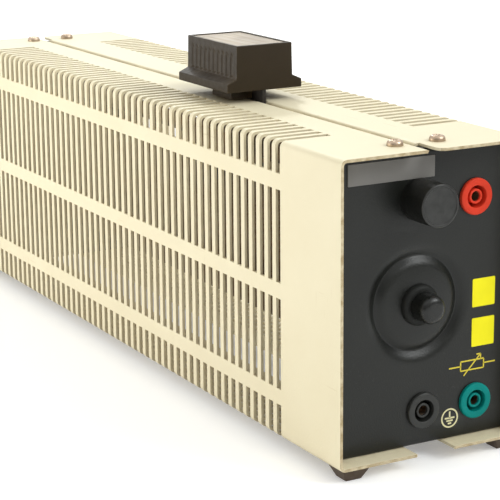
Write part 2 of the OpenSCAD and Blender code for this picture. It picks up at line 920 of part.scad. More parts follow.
module earth_tag() {
    color("silver") in_case() translate([stud_x, -stud_y, stud_foot]) rotate([0, 0, 90])
        ring_tag(stud_d, earth_tag_d, earth_tag_reach, earth_tag_w);
}

module earth_nut() {
    color("silver") in_case() translate([stud_x, -stud_y, stud_foot + tag_t])
        hex_nut(earth_nut_af, stud_d, earth_nut_t);
}

// Places a piece on the slider, with its height above the cover floor
module on_slider() {
    in_case() translate([0, slider_y, 0]) children();
}

// Knob: a bar with sloped shoulders, finger grooves, a sunk top and a skid below
module slider_knob() {
    shoulder = knob_lift + knob_edge_h;
    waist = shoulder + knob_slope_h;
    half_w = knob_w / 2;
    half_base = knob_base_w / 2;
    side = [
        [half_base, knob_lift], [half_base, shoulder], [half_w, waist], [half_w - knob_draft, knob_top]
    ];
    outline = concat(side, [for (i = [3 : -1 : 0]) [-side[i][0], side[i][1]]]);
    grip_pitch = (knob_l - 2 * grip_margin) / grip_n;
    color("#39322b") on_slider() translate([0, 0, case_h]) difference() {
        union() {
            along_y(knob_l) polygon(outline);
            translate([skid_x - skid_w / 2, skid_y - skid_l / 2, pass_gap])
                cube([skid_w, skid_l, knob_lift]);
        }
        translate([knob_rim - half_w, knob_rim - knob_l / 2, knob_top - inlay_depth])
            cube([knob_w - 2 * knob_rim, knob_l - 2 * knob_rim, inlay_depth + over]);
        for (turn = [0, 180], i = [0 : grip_n - 1]) rotate([0, 0, turn])
            translate([half_w - grip_depth, (i + 0.5 - grip_n / 2) * grip_pitch - grip_w / 2, grip_low])
                cube([grip_depth + over, grip_w, grip_high - grip_low]);
        translate([-stem_t / 2 - run_fit, -blade_l / 2, 0])
            cube([stem_t + 2 * run_fit, blade_l, knob_lift]);
        translate([-stem_t / 2 - run_fit, -tongue_l / 2 - run_fit, 0])
            cube([stem_t + 2 * run_fit, tongue_l + 2 * run_fit, tongue_up + run_fit]);
    }
}

module slider_top_plate() {
    w = knob_w - 2 * (knob_rim + plate_gap);
    l = knob_l - 2 * (knob_rim + plate_gap);
    color("#a89c86") on_slider() translate([-w / 2, -l / 2, case_h + knob_top - inlay_depth])
        cube([w, l, inlay_t]);
}

// Blade that runs in the slot between the covers, with a tongue up into the knob and a
// base screwed to the carriage
module slider_stem() {
    color("#2a2622") on_slider() difference() {
        union() {
            translate([-stem_base_w / 2, -stem_base_l / 2, carriage_top])
                cube([stem_base_w, stem_base_l, stem_base_t]);
            translate([-stem_t / 2, -blade_l / 2, carriage_top])
                cube([stem_t, blade_l, case_h + knob_lift - carriage_top]);
            translate([-stem_t / 2, -tongue_l / 2, carriage_top])
                cube([stem_t, tongue_l, case_h + tongue_up - carriage_top]);
        }
        for (x = [-stem_screw_x, stem_screw_x], y = [-stem_screw_y, stem_screw_y])
            translate([x, y, carriage_top - over])
                cylinder(d = stem_screw_d + 2 * run_fit, h = stem_base_t + 2 * over);
    }
}

module stem_screws() {
    color("silver") on_slider()
        for (x = [-stem_screw_x, stem_screw_x], y = [-stem_screw_y, stem_screw_y])
            translate([x, y, carriage_top]) {
                translate([0, 0, stem_base_t]) cylinder(d = stem_head_d, h = stem_head_t);
                translate([0, 0, -stem_screw_deep])
                    cylinder(d = stem_screw_d, h = stem_screw_deep + stem_base_t);
            }
}

// Brass block that slides on the guide rod and holds the brushes
module carriage_block() {
    color("#b99a4e") on_slider() difference() {
        translate([-carriage_w / 2, -carriage_l / 2, rod_z - carriage_under])
            cube([carriage_w, carriage_l, carriage_under + carriage_over]);
        translate([0, -carriage_l, rod_z]) rotate([-90, 0, 0])
            cylinder(d = rod_d + 2 * run_fit, h = 2 * carriage_l);
        for (x = [-brush_x, brush_x]) translate([x, 0, rod_z - carriage_under - over])
            cylinder(d = brush_d + 2 * run_fit, h = carriage_under + carriage_over + 2 * over);
        for (x = [-stem_screw_x, stem_screw_x], y = [-stem_screw_y, stem_screw_y])
            translate([x, y, carriage_top - stem_screw_deep])
                cylinder(d = stem_screw_d + 2 * run_fit, h = stem_screw_deep + over);
    }
}

// Round brushes with tips worn to the curve of the winding
module contact_brushes() {
    color("#4a4642") on_slider() difference() {
        for (x = [-brush_x, brush_x]) translate([x, 0, tube_z])
            cylinder(d = brush_d, h = brush_top - tube_z);
        translate([0, -brush_d, tube_z]) rotate([-90, 0, 0])
            cylinder(r = winding_r + pass_gap, h = 2 * brush_d);
    }
}

module brush_springs() {
    wire_r = spring_wire / 2;
    climb = spring_high - spring_low - spring_wire;
    steps = 10 * spring_turns;
    coil = [
        for (i = [0 : steps])
            let (a = 360 * spring_turns * i / steps)
            [(spring_d / 2 - wire_r) * cos(a), (spring_d / 2 - wire_r) * sin(a), climb * i / steps]
    ];
    color("silver") on_slider() for (x = [-brush_x, brush_x])
        translate([x, 0, spring_low + wire_r]) swept_bar(coil, wire_r, 6, [0, 0, 1]);
}

module brush_caps() {
    color("#c9b36a") on_slider() for (x = [-brush_x, brush_x]) translate([x, 0, carriage_top])
        difference() {
            union() {
                translate([0, 0, -brush_cap_in]) cylinder(d = brush_d, h = brush_cap_in);
                cylinder(d = brush_cap_d, h = brush_cap_t);
            }
            translate([-brush_cap_d, -recess_w / 2, brush_cap_t / 2])
                cube([2 * brush_cap_d, recess_w, brush_cap_t]);
        }
}

left_cover();
right_cover();
front_end_plate();
rear_end_plate();
feet();
top_cover_screws();
bottom_cover_screws();
ceramic_tube();
resistance_winding();
tube_gaskets();
front_terminal_band();
rear_terminal_band();
band_screws();
tie_rod();
tie_rod_collars();
front_cap_nut();
rear_cap_nut();
guide_rod();
rod_bushes();
rod_nuts();
rod_tag();
front_rod_cap();
rear_rod_cap();
red_socket();
black_socket();
earth_socket();
rear_socket();
socket_contacts();
socket_nuts();
red_lead();
black_lead();
rear_lead();
earth_lead();
earth_stud();
earth_tag();
earth_nut();
slider_knob();
slider_top_plate();
slider_stem();
stem_screws();
carriage_block();
contact_brushes();
brush_springs();
brush_caps();
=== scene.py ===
import json
import math

import bmesh
import bpy
from mathutils import Matrix, Vector


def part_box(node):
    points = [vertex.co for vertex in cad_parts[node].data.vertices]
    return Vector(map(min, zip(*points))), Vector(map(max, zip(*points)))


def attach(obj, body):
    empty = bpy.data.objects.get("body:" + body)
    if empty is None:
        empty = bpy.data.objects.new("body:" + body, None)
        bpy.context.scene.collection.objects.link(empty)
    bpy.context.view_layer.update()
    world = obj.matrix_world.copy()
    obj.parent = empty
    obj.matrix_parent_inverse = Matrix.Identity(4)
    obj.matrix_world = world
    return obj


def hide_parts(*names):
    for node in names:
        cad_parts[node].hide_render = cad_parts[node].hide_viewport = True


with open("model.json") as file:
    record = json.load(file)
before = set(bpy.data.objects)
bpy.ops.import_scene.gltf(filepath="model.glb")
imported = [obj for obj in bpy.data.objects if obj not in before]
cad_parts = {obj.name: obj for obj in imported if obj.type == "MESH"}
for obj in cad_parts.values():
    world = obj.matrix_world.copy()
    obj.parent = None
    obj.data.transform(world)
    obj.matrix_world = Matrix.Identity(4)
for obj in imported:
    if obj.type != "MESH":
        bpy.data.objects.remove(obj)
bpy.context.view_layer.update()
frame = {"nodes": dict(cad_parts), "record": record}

MM = 0.001
NEAR = 0.001 * MM
TOUCH = 0.1 * MM
HOUSING = "housing"
SLIDER = "slider"
ENDS = ("front", "rear")


def centre(node):
    low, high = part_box(node)
    return (low + high) / 2


# Casing sizes, read from the frame
left_low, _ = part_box("left_cover")
right_low, right_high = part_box("right_cover")
AXIS = centre("ceramic_tube").x
TUBE_Z = centre("ceramic_tube").z
LEFT_HALF = AXIS - left_low.x
RIGHT_HALF = right_high.x - AXIS
HALF_L = right_high.y
TOP = right_high.z
FLOOR = right_low.z
SLIT = right_low.x - AXIS
FACE = -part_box("front_rod_cap")[1].y

# Sheet covers: bends, lips, floor edges and rows of vents
SHEET = 1.2 * MM
BEND = 2.5 * MM
LIP = 6 * MM
LIP_BEND = 1.3 * MM
LIP_STOP = 14 * MM
LEFT_RELIEF = 0.5 * MM
RIGHT_RELIEF = 2 * MM
RIGHT_TIP_R = 4 * MM
LEFT_FLOOR = 35 * MM
RIGHT_FLOOR = 33.5 * MM
VENT_W = 3.4 * MM
VENT_PITCH = 6.3 * MM
VENT_FRONT = 46 * MM
VENT_REAR = 37 * MM
LEFT_WRAP = 23 * MM
RIGHT_WRAP = 25 * MM
VENT_DROP = 12.7 * MM
VENT_RISE = 13.9 * MM
VENT_BAND = 6.5 * MM
ROW_H = (TOP - FLOOR - VENT_DROP - VENT_RISE - 3 * VENT_BAND) / 2
ROWS = [FLOOR + VENT_RISE + VENT_BAND, FLOOR + VENT_RISE + 2 * VENT_BAND + ROW_H]

# End plates: folds, a notch for the slider, and a pressed ring and boss, softer than in the solids
PLATE_T = 1.2 * MM
PLATE_GAP = 0.2 * MM
PLATE_W = LEFT_HALF + RIGHT_HALF - 2 * (SHEET + PLATE_GAP)
FOLD = 1.5 * MM
FLANGE_D = 14 * MM
FLANGE_WEB = 5.1 * MM
FLANGE_NOTCH = 5.4 * MM
RING_R = 18.9 * MM
RING_REACH = 3.6 * MM
RING_EASE = 2 * MM
RING_DEPTH = 2.1 * MM
GROOVE_EASE = 0.5 * MM
BOSS_H = 0.9 * MM
BOSS_REACH = 2.9 * MM
BOSS_EASE = 1.6 * MM
DOME_H = 0.9 * MM
DOME_EASE = 3 * MM
ROD_HOLE = 6.5 * MM
SOCKET_HOLE = 6 * MM
TIE_R = 3 * MM
TIE_HOLE = 3.2 * MM
PLATE_CORNER_STEPS = 4

# Fittings on the plates: collars and domed nuts of the tie rod, caps of the guide rod
FIT = 0.05 * MM
ROD_R = 4 * MM
COLLAR_R = 8.2 * MM
COLLAR_T = 2.5 * MM
COLLAR_ROUND = 2 * MM
NUT_R = 5.7 * MM
NUT_L = 8.6 * MM
NUT_ROUND = 3 * MM
NUT_CROWN = 2.1 * MM
ROD_CAP_R = 8.35 * MM
ROD_CAP_L = 14.2 * MM
ROD_CAP_CROWN = 4.2 * MM
CAP_LIP = 0.3 * MM
CAP_DISH = 0.3 * MM

# Sockets: rim, barrel, ring-shaped well, post and the sleeve in it
RIM_R = 7.25 * MM
RIM_T = 1.4 * MM
RIM_ROUND = 0.6 * MM
BARREL_R = 6 * MM
BARREL_L = 18 * MM
WELL_R = 4.4 * MM
WELL_FLOOR = 14 * MM
POST_R = 3 * MM
POST_DROP = 0.8 * MM
POST_BORE = 2 * MM
SLEEVE_R = 2.45 * MM
SLEEVE_DROP = 1.8 * MM
MOUTH_ROUND = 0.35 * MM

# Slider knob: base, skid, sunk top with its inlay, and finger grooves
KNOB_EDGE = 3.6 * MM
KNOB_SLOPE = 2 * MM
KNOB_W = 27.4 * MM
KNOB_DRAFT = 0.3 * MM
KNOB_RIM = 1.6 * MM
INLAY_GAP = 0.2 * MM
KNOB_SINK = 1.2 * MM
SKID_LIFT = 0.3 * MM
SKID_MIDDLE = Vector((-2.7, -4)) * MM
SKID_SIZE = Vector((16.6, 17.5)) * MM
KNOB_LIFT = 5.1 * MM
GRIPS = 10
GRIP_MARGIN = 3 * MM
GRIP_R = 1.5 * MM
GRIP_DEPTH = 0.8 * MM
GRIP_TOP = 3.5 * MM
GRIP_STEPS = 10
SIDE_STEPS = 18
INLAY_CORNER = 0.6 * MM

# Winding
WIRE = 2.4 * MM
TURN_PITCH = 2.5 * MM
TURN_STEPS = 32
WIRE_SIDES = 8

# Feet and screws
FOOT_W = 12 * MM
FOOT_TIP = 7 / 12
HEAD_R = 3.2 * MM
HEAD_INSET = 3.6 * MM
HEAD_H = 2.2 * MM
HEAD_FLAT = 1.9 * MM
HEAD_SIDE = 0.5 * MM
SHANK_R = 1.5 * MM
SHANK_L = 8 * MM
CROSS_L = 1.7 * MM
CROSS_W = 0.45 * MM
CROSS_DEEP = 1.2 * MM
CROSS_TAPER = 0.55

# Plates and printing on the front, as places in X and Z in mm
NAME_PLATE = ((-35, 112.7), (3.7, 121))
NAME_PLATE_T = 0.4 * MM
NAME_PLATE_CORNER = 0.3 * MM
YELLOW_LABELS = [((22.5, 58.4), (33.2, 69.8)), ((22.5, 42.3), (33.2, 53.9))]
LABEL_T = 0.15 * MM
LABEL_CORNER = 0.5 * MM
INK_T = 0.06 * MM
EARTH_SIGN = (12.8, 14.7)
EARTH_RING_R = 4 * MM
EARTH_RING_W = 0.65 * MM
EARTH_STEM = 2.7 * MM
EARTH_LINE = 0.7 * MM
EARTH_BARS = [(2.3 * MM, 0), (1.5 * MM, 1.1 * MM), (0.8 * MM, 2.2 * MM)]
RESISTOR_SIGN = (23.1, 35)
RESISTOR_HALF_W = 5.5 * MM
RESISTOR_HALF_H = 1.9 * MM
RESISTOR_LINE = 0.55 * MM
ARROW_REACH = 4 * MM
ARROW_BARB = 2 * MM

# Camera, fitted to the photograph
YAW, PITCH, ROLL = 0.5043, 0.2457, -0.009
CAMERA = Vector((-384.25, -739.78, 254.18)) * MM
FOCAL_PX = 1828.28
IMAGE_PX = 500
SENSOR = 36

# Light from all round, the dim side of the room in reflections, and the floor's glow, lowered under
# the case as painted shade
WHITE = (1, 1, 1, 1)
AMBIENT = (0.54, 0.54, 0.53, 1)
ROOM_DIM = (0.12, 0.12, 0.12, 1)
FLOOR_GREY = (0.82, 0.82, 0.82, 1)
FLOOR_SIZE = 12
FLOOR_GLOW = 0.45
SHADE_GLOW = 0.26
SHADE_EDGE = 10 * MM

# Width of worn edges, and depths of bump
EDGE = 0.6 * MM
PEEL = 0.03 * MM
BRUSHED = 0.008 * MM


def arc(middle, radius, start, end, steps):
    """Points on a circle from one angle to another, in degrees."""
    angles = [math.radians(start + (end - start) * i / steps) for i in range(steps + 1)]
    return [(middle[0] + radius * math.cos(a), middle[1] + radius * math.sin(a)) for a in angles]


# Mesh helpers


def make_piece(name, bm, finish, body, stands_for=(), crease=35, wall=0, round_off=0,
               rounds=2):
    """Turns a bmesh into a piece that rides on a body, with its finish and its rounded edges."""
    mesh = bpy.data.meshes.new(name)
    bm.to_mesh(mesh)
    bm.free()
    mesh.materials.append(FINISH[finish])
    mesh.shade_smooth()
    mesh.set_sharp_from_angle(angle=math.radians(crease))
    piece = bpy.data.objects.new(name, mesh)
    bpy.context.scene.collection.objects.link(piece)
    if wall:
        sheet = piece.modifiers.new("Wall", "SOLIDIFY")
        sheet.thickness = wall
        sheet.offset = -1
        sheet.use_even_offset = True
        sheet.use_quality_normals = True
    if round_off:
        edge = piece.modifiers.new("Edges", "BEVEL")
        edge.width = round_off
        edge.segments = rounds
        edge.limit_method = "ANGLE"
        edge.angle_limit = math.radians(crease)
        edge.harden_normals = True
    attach(piece, body)
    if stands_for:
        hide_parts(*stands_for)
    return piece


def close_up(bm):
    """Merges doubles and points the faces of a closed shape outwards."""
    bmesh.ops.remove_doubles(bm, verts=bm.verts, dist=NEAR)
    bmesh.ops.recalc_face_normals(bm, faces=bm.faces)


def verts_in(geom):
    return [g for g in geom if isinstance(g, bmesh.types.BMVert)]


def edges_in(geom):
    return [g for g in geom if isinstance(g, bmesh.types.BMEdge)]


def edges_at(verts):
    """The edges that meet the vertices, each once."""
    return list({e for v in verts for e in v.link_edges})


def faces_where(bm, test):
    """The faces whose middle passes a test."""
    return [f for f in bm.faces if test(f.calc_center_median())]


def face_to(bm, face, way):
    """Turns a whole sheet over if one of its faces looks away from a direction."""
    if face.normal.dot(way) < 0:
        bmesh.ops.reverse_faces(bm, faces=bm.faces)


def round_corners(bm, geom, radius, steps, affect="EDGES"):
    bmesh.ops.bevel(
        bm, geom=geom, offset=radius, segments=steps, profile=0.5, affect=affect, material=-1,
    )


def chain(bm, points):
    """Vertices joined by edges, one after another."""
    verts = [bm.verts.new(p) for p in points]
    return verts, [bm.edges.new(pair) for pair in zip(verts, verts[1:])]


def closed_chain(bm, points):
    """Vertices joined by edges, the last one to the first as well."""
    verts, edges = chain(bm, points)
    return verts, edges + [bm.edges.new((verts[-1], verts[0]))]


def turn(bm, line, place, steps=64):
    """Revolves a line of (radius, height) points about its axis and moves it to its place."""
    verts, edges = chain(bm, [(r, 0, h) for r, h in line])
    known = set(bm.verts) - set(verts)
    bmesh.ops.spin(
        bm, geom=verts + edges, cent=(0, 0, 0), axis=(0, 0, 1), angle=2 * math.pi, steps=steps,
        use_merge=True, use_duplicate=False,
    )
    made = [v for v in bm.verts if v not in known]
    bmesh.ops.transform(bm, matrix=place, verts=made)


def on_front(x, z):
    """Place on the front plate's face, its own Z pointing out of the case."""
    return Matrix.Translation((x, -FACE, z)) @ Matrix.Rotation(math.pi / 2, 4, "X")


def on_rear(x, z):
    return Matrix.Translation((x, FACE, z)) @ Matrix.Rotation(-math.pi / 2, 4, "X")


def extrude_row(bm, edges, step, factor=1):
    """Extrudes a row of edges by a vector, scaled about the Z axis, and gives back the new row."""
    made = bmesh.ops.extrude_edge_only(bm, edges=edges)["geom"]
    moved = verts_in(made)
    bmesh.ops.scale(bm, vec=(factor, factor, 1), verts=moved)
    bmesh.ops.translate(bm, vec=step, verts=moved)
    return [e for e in edges_in(made) if set(moved).issuperset(e.verts)]


def block(bm, low, high):
    """A box between two corners; gives back its vertices."""
    low, high = Vector(low), Vector(high)
    made = bmesh.ops.create_cube(bm, size=1)["verts"]
    size = Matrix.Diagonal((*(high - low), 1))
    bmesh.ops.transform(bm, matrix=Matrix.Translation((low + high) / 2) @ size, verts=made)
    return made


def upright_edges(bm):
    return [e for e in bm.edges if (e.verts[0].co.xy - e.verts[1].co.xy).length < NEAR]


def set_at(bm, places):
    """Copies the shape that a bmesh holds to each of its places."""
    shape = bm.verts[:] + bm.edges[:] + bm.faces[:]
    for place in places[1:]:
        copied = bmesh.ops.duplicate(bm, geom=shape)["geom"]
        bmesh.ops.translate(bm, vec=place, verts=verts_in(copied))
    bmesh.ops.translate(bm, vec=places[0], verts=verts_in(shape))


# Colours and shader helpers


def tint(code):
    """Linear colour from a web colour code."""
    parts = [int(code[i:i + 2], 16) / 255 for i in (1, 3, 5)]
    return (*[c / 12.92 if c <= 0.04045 else ((c + 0.055) / 1.055) ** 2.4 for c in parts], 1)


def put(tree, kind, values=None, **settings):
    """Adds a node, sets its properties, and sets or links its inputs."""
    node = tree.nodes.new(kind)
    for key, value in settings.items():
        setattr(node, key, value)
    for key, value in (values or {}).items():
        feed(tree, node, key, value)
    return node


def feed(tree, node, key, value):
    if isinstance(value, bpy.types.NodeSocket):
        tree.links.new(value, node.inputs[key])
    else:
        node.inputs[key].default_value = value


def mixed(tree, mask, first, second):
    """Colour that goes from the first to the second as the mask goes from 0 to 1."""
    node = put(tree, "ShaderNodeMix", data_type="RGBA")
    feed(tree, node, 0, mask)
    feed(tree, node, 6, first)
    feed(tree, node, 7, second)
    return node.outputs[2]


def ranged(tree, value, low, high, to_low=0.0, to_high=1.0):
    """Value mapped from one range to another and clamped."""
    names = {"Value": value, "From Min": low, "From Max": high, "To Min": to_low, "To Max": to_high}
    return put(tree, "ShaderNodeMapRange", names).outputs["Result"]


def maths(tree, operation, first, second):
    node = put(tree, "ShaderNodeMath", operation=operation)
    feed(tree, node, 0, first)
    feed(tree, node, 1, second)
    return node.outputs[0]


def object_place(tree):
    return put(tree, "ShaderNodeTexCoord").outputs["Object"]


def axes(tree, vector):
    """The X, Y and Z parts of a vector."""
    return put(tree, "ShaderNodeSeparateXYZ", {"Vector": vector}).outputs


def cloud(tree, place, scale, detail):
    """Noise at a place."""
    values = {"Vector": place, "Scale": scale, "Detail": detail}
    return put(tree, "ShaderNodeTexNoise", values).outputs["Fac"]


def shader_group(name, inputs, outputs):
    """An empty node group with named value sockets, and its two end nodes."""
    tree = bpy.data.node_groups.new(name, "ShaderNodeTree")
    for label, value in inputs.items():
        socket = tree.interface.new_socket(
            name=label, in_out="INPUT", socket_type="NodeSocketFloat",
        )
        socket.default_value = value
    for label in outputs:
        tree.interface.new_socket(name=label, in_out="OUTPUT", socket_type="NodeSocketFloat")
    return tree, put(tree, "NodeGroupInput").outputs, put(tree, "NodeGroupOutput")


def break_up(tree, given, result, mask, noise, low, high):
    """Ends a group: its mask broken up by noise between two levels, times its amount."""
    broken = maths(tree, "MULTIPLY", mask, ranged(tree, noise, low, high))
    feed(tree, result, "Mask", maths(tree, "MULTIPLY", broken, given["Amount"]))
    return tree


def build_grain():
    """Speckle at one scale, and softer patches at a tenth of it."""
    tree, given, result = shader_group("fine_grain", {"Scale": 500}, ["Speckle", "Patches"])
    coarse = maths(tree, "MULTIPLY", given["Scale"], 0.1)
    for label, scale in (("Speckle", given["Scale"]), ("Patches", coarse)):
        noise = cloud(tree, object_place(tree), scale, 3.0)
        feed(tree, result, label, ranged(tree, noise, 0.3, 0.7))
    return tree


def build_edge_wear():
    """Mask along outer edges, broken up by noise."""
    inputs = {"Radius": 0.0008, "Scale": 160, "Amount": 1}
    tree, given, result = shader_group("edge_wear", inputs, ["Mask"])
    soft = put(tree, "ShaderNodeBevel", {"Radius": given["Radius"]}, samples=4)
    true = put(tree, "ShaderNodeNewGeometry")
    dot = put(tree, "ShaderNodeVectorMath", operation="DOT_PRODUCT")
    feed(tree, dot, 0, soft.outputs["Normal"])
    feed(tree, dot, 1, true.outputs["Normal"])
    edge = ranged(tree, dot.outputs["Value"], 0.98, 0.8)
    noise = cloud(tree, object_place(tree), given["Scale"], 4.0)
    return break_up(tree, given, result, edge, noise, 0.42, 0.62)


def build_grime_and_shade():
    """Mask in corners and openings, from ambient occlusion: grime on some finishes, painted shade
    on others.
    """
    inputs = {"Reach": 0.006, "Scale": 90, "Amount": 1}
    tree, given, result = shader_group("corner_grime_and_shade", inputs, ["Mask"])
    shade = put(tree, "ShaderNodeAmbientOcclusion", {"Distance": given["Reach"]}, samples=4)
    corner = ranged(tree, shade.outputs["AO"], 0.9, 0.35)
    noise = cloud(tree, object_place(tree), given["Scale"], 4.0)
    return break_up(tree, given, result, corner, noise, 0.25, 0.7)


def build_scuffs():
    """Mask of a few fine scratches lying two ways, in patches."""
    tree, given, result = shader_group("fine_scuffs", {"Scale": 40, "Amount": 1}, ["Mask"])
    place = object_place(tree)
    masks = []
    for angle, stretch in ((0.5, (30, 1, 30)), (-0.9, (1, 34, 2))):
        values = {"Vector": place, "Rotation": (angle, angle, 0), "Scale": stretch}
        drawn = put(tree, "ShaderNodeMapping", values).outputs["Vector"]
        masks.append(ranged(tree, cloud(tree, drawn, given["Scale"], 2.0), 0.66, 0.72))
    both = maths(tree, "MAXIMUM", *masks)
    return break_up(tree, given, result, both, cloud(tree, place, 22.0, 1.0), 0.5, 0.65)


def build_dust():
    """Mask of thin dust on what faces up."""
    tree, given, result = shader_group("settled_dust", {"Scale": 60, "Amount": 1}, ["Mask"])
    facing = axes(tree, put(tree, "ShaderNodeNewGeometry").outputs["Normal"])
    upward = ranged(tree, facing["Z"], 0.3, 0.95)
    noise = cloud(tree, object_place(tree), given["Scale"], 6.0)
    return break_up(tree, given, result, upward, noise, 0.4, 0.75)


def build_end_faces():
    """Mask on what faces along the case and lies past a distance from its middle."""
    inputs = {"Scale": 300, "Past": 0, "Amount": 1}
    tree, given, result = shader_group("end_faces", inputs, ["Mask"])
    facing = axes(tree, put(tree, "ShaderNodeNewGeometry").outputs["Normal"])
    place = object_place(tree)
    end_on = ranged(tree, maths(tree, "ABSOLUTE", facing["Y"], 0.0), 0.25, 0.5)
    along = maths(tree, "ABSOLUTE", axes(tree, place)["Y"], 0.0)
    past = maths(tree, "GREATER_THAN", along, given["Past"])
    end_on = maths(tree, "MULTIPLY", end_on, past)
    return break_up(tree, given, result, end_on, cloud(tree, place, given["Scale"], 5.0), 0.1, 0.65)


def build_brushing():
    """Fine lines along X, Y or Z, set by how far each axis is stretched."""
    inputs = {"Scale": 60, "X": 1, "Y": 1, "Z": 1}
    tree, given, result = shader_group("brushed_lines", inputs, ["Lines"])
    stretch = put(tree, "ShaderNodeCombineXYZ", {axis: given[axis] for axis in "XYZ"})
    values = {"Vector": object_place(tree), "Scale": stretch.outputs["Vector"]}
    drawn = put(tree, "ShaderNodeMapping", values).outputs["Vector"]
    feed(tree, result, "Lines", ranged(tree, cloud(tree, drawn, given["Scale"], 3.0), 0.3, 0.7))
    return tree


GRAIN = build_grain()
EDGE_WEAR = build_edge_wear()
GRIME_AND_SHADE = build_grime_and_shade()
SCUFFS = build_scuffs()
DUST = build_dust()
END_FACES = build_end_faces()
BRUSHING = build_brushing()


def effect(tree, group, output, **values):
    """Places a shared effect with its own values and gives back one of its outputs."""
    node = put(tree, "ShaderNodeGroup", node_tree=group)
    for key, value in values.items():
        feed(tree, node, key, value)
    return node.outputs[output]


def new_finish(name, **plain):
    """A material with its shader's plain values set, and its tree and shader."""
    made = bpy.data.materials.new(name)
    made.use_nodes = True
    tree = made.node_tree
    shader = tree.nodes["Principled BSDF"]
    for label, value in plain.items():
        shader.inputs[label.replace("_", " ")].default_value = value
    return made, tree, shader


def laid_over(tree, colour, code, group, **values):
    """A colour with another one laid over it where a shared effect has its mask."""
    return mixed(tree, effect(tree, group, "Mask", **values), colour, tint(code))


def coat(tree, shader, colour, sheen, roughness, height, depth):
    """Feeds a shader its colour, its range of roughness and its bump, at most as deep as given."""
    feed(tree, shader, "Base Color", colour)
    feed(tree, shader, "Roughness", ranged(tree, sheen, 0, 1, *roughness))
    bump = put(tree, "ShaderNodeBump", {"Height": height, "Distance": depth, "Strength": 1.0})
    feed(tree, shader, "Normal", bump.outputs["Normal"])


def dimmed(colour, share):
    return (*[c * share for c in colour[:3]], 1)


# Finishes


def cover_paint():
    """Ivory paint, with painted shade in corners, on the slots' walls and along the cut ends."""
    made, tree, shader = new_finish("ivory_powder_coat", Specular_IOR_Level=0.3)
    patches = effect(tree, GRAIN, "Patches", Scale=260)
    peel = effect(tree, GRAIN, "Speckle", Scale=950)
    colour = mixed(tree, patches, tint("#F2E7C6"), tint("#F7EDCE"))
    # Brown along every edge of the sheet, the slots' edges too.
    colour = laid_over(tree, colour, "#BFA878", EDGE_WEAR, Radius=EDGE, Amount=0.6)
    # Painted shade: brown darkening in corners, at the slots and in the recess in front of the
    # plates.
    colour = laid_over(tree, colour, "#7E6030", GRIME_AND_SHADE, Reach=10 * MM, Amount=0.52)
    colour = laid_over(tree, colour, "#D8C69C", SCUFFS, Scale=34, Amount=0.35)
    # Painted shade: the slots' walls and the cut ends, which face along the case, are darkened tan
    # for the weak light from the front.
    walls = effect(tree, END_FACES, "Mask", Amount=0.24)
    ends = effect(tree, END_FACES, "Mask", Past=HALF_L - SHEET, Amount=0.95)
    colour = mixed(tree, maths(tree, "MAXIMUM", walls, ends), colour, tint("#AC9670"))
    coat(tree, shader, colour, patches, (0.48, 0.6), peel, PEEL)
    return made


def plate_paint():
    made, tree, shader = new_finish("black_texture_paint", Specular_IOR_Level=0.38)
    speckle = effect(tree, GRAIN, "Speckle", Scale=1500)
    patches = effect(tree, GRAIN, "Patches", Scale=400)
    colour = mixed(tree, patches, tint("#0D0F0B"), tint("#141612"))
    colour = laid_over(tree, colour, "#4A4B49", EDGE_WEAR, Radius=EDGE, Amount=0.5)
    colour = laid_over(tree, colour, "#3C3D3B", SCUFFS, Scale=30, Amount=0.3)
    # Painted shadow: near-black darkening round the fittings, standing in for their shadows on the
    # plate.
    colour = laid_over(tree, colour, "#0E0F0D", GRIME_AND_SHADE, Reach=20 * MM, Amount=0.8)
    coat(tree, shader, colour, speckle, (0.32, 0.4), speckle, PEEL)
    return made


def moulded(name, colour, worn, roughness, grain=700, depth=0.02 * MM, wear=0.4, gloss=0.4,
            rubbed_and_lit=0.0, grime=0.0, dust=0.0):
    """Moulded plastic or rubber: fine grain, paler edges, paler end faces as rubbed wear and as
    painted light, grime and dust.
    """
    made, tree, shader = new_finish(name, Specular_IOR_Level=gloss)
    speckle = effect(tree, GRAIN, "Speckle", Scale=grain)
    patches = effect(tree, GRAIN, "Patches", Scale=grain)
    shade = mixed(tree, patches, dimmed(tint(colour), 0.8), tint(colour))
    shade = laid_over(tree, shade, worn, EDGE_WEAR, Radius=EDGE, Amount=wear)
    # Paler end faces: partly rubbed wear, partly painted light on the faces, with the sides left
    # darker as painted shade.
    if rubbed_and_lit:
        shade = laid_over(tree, shade, "#474745", END_FACES, Amount=rubbed_and_lit)
    if grime:
        shade = laid_over(tree, shade, "#8A7659", GRIME_AND_SHADE, Reach=2.5 * MM, Amount=grime)
    if dust:
        shade = laid_over(tree, shade, "#8C7F6A", DUST, Amount=dust)
    coat(tree, shader, shade, speckle, (roughness - 0.07, roughness + 0.08), speckle, depth)
    return made


def plated(name, bright, dull, roughness, lines=(1, 1, 1), scale=400):
    """Bare or plated metal with fine drawn lines and duller patches."""
    made, tree, shader = new_finish(name, Metallic=1.0)
    drawn = effect(tree, BRUSHING, "Lines", Scale=scale, X=lines[0], Y=lines[1], Z=lines[2])
    patches = effect(tree, GRAIN, "Patches", Scale=900)
    colour = mixed(tree, patches, tint(bright), tint(dull))
    coat(tree, shader, colour, drawn, (roughness - 0.08, roughness + 0.1), drawn, BRUSHED)
    return made


def oxidised_wire():
    made, tree, shader = new_finish("oxidised_wire", Metallic=0.5)
    patches = effect(tree, GRAIN, "Patches", Scale=700)
    speckle = effect(tree, GRAIN, "Speckle", Scale=2400)
    colour = mixed(tree, patches, tint("#66502C"), tint("#8A6C40"))
    colour = mixed(tree, speckle, colour, tint("#4A3418"))
    coat(tree, shader, colour, speckle, (0.42, 0.62), speckle, 0.01 * MM)
    return made


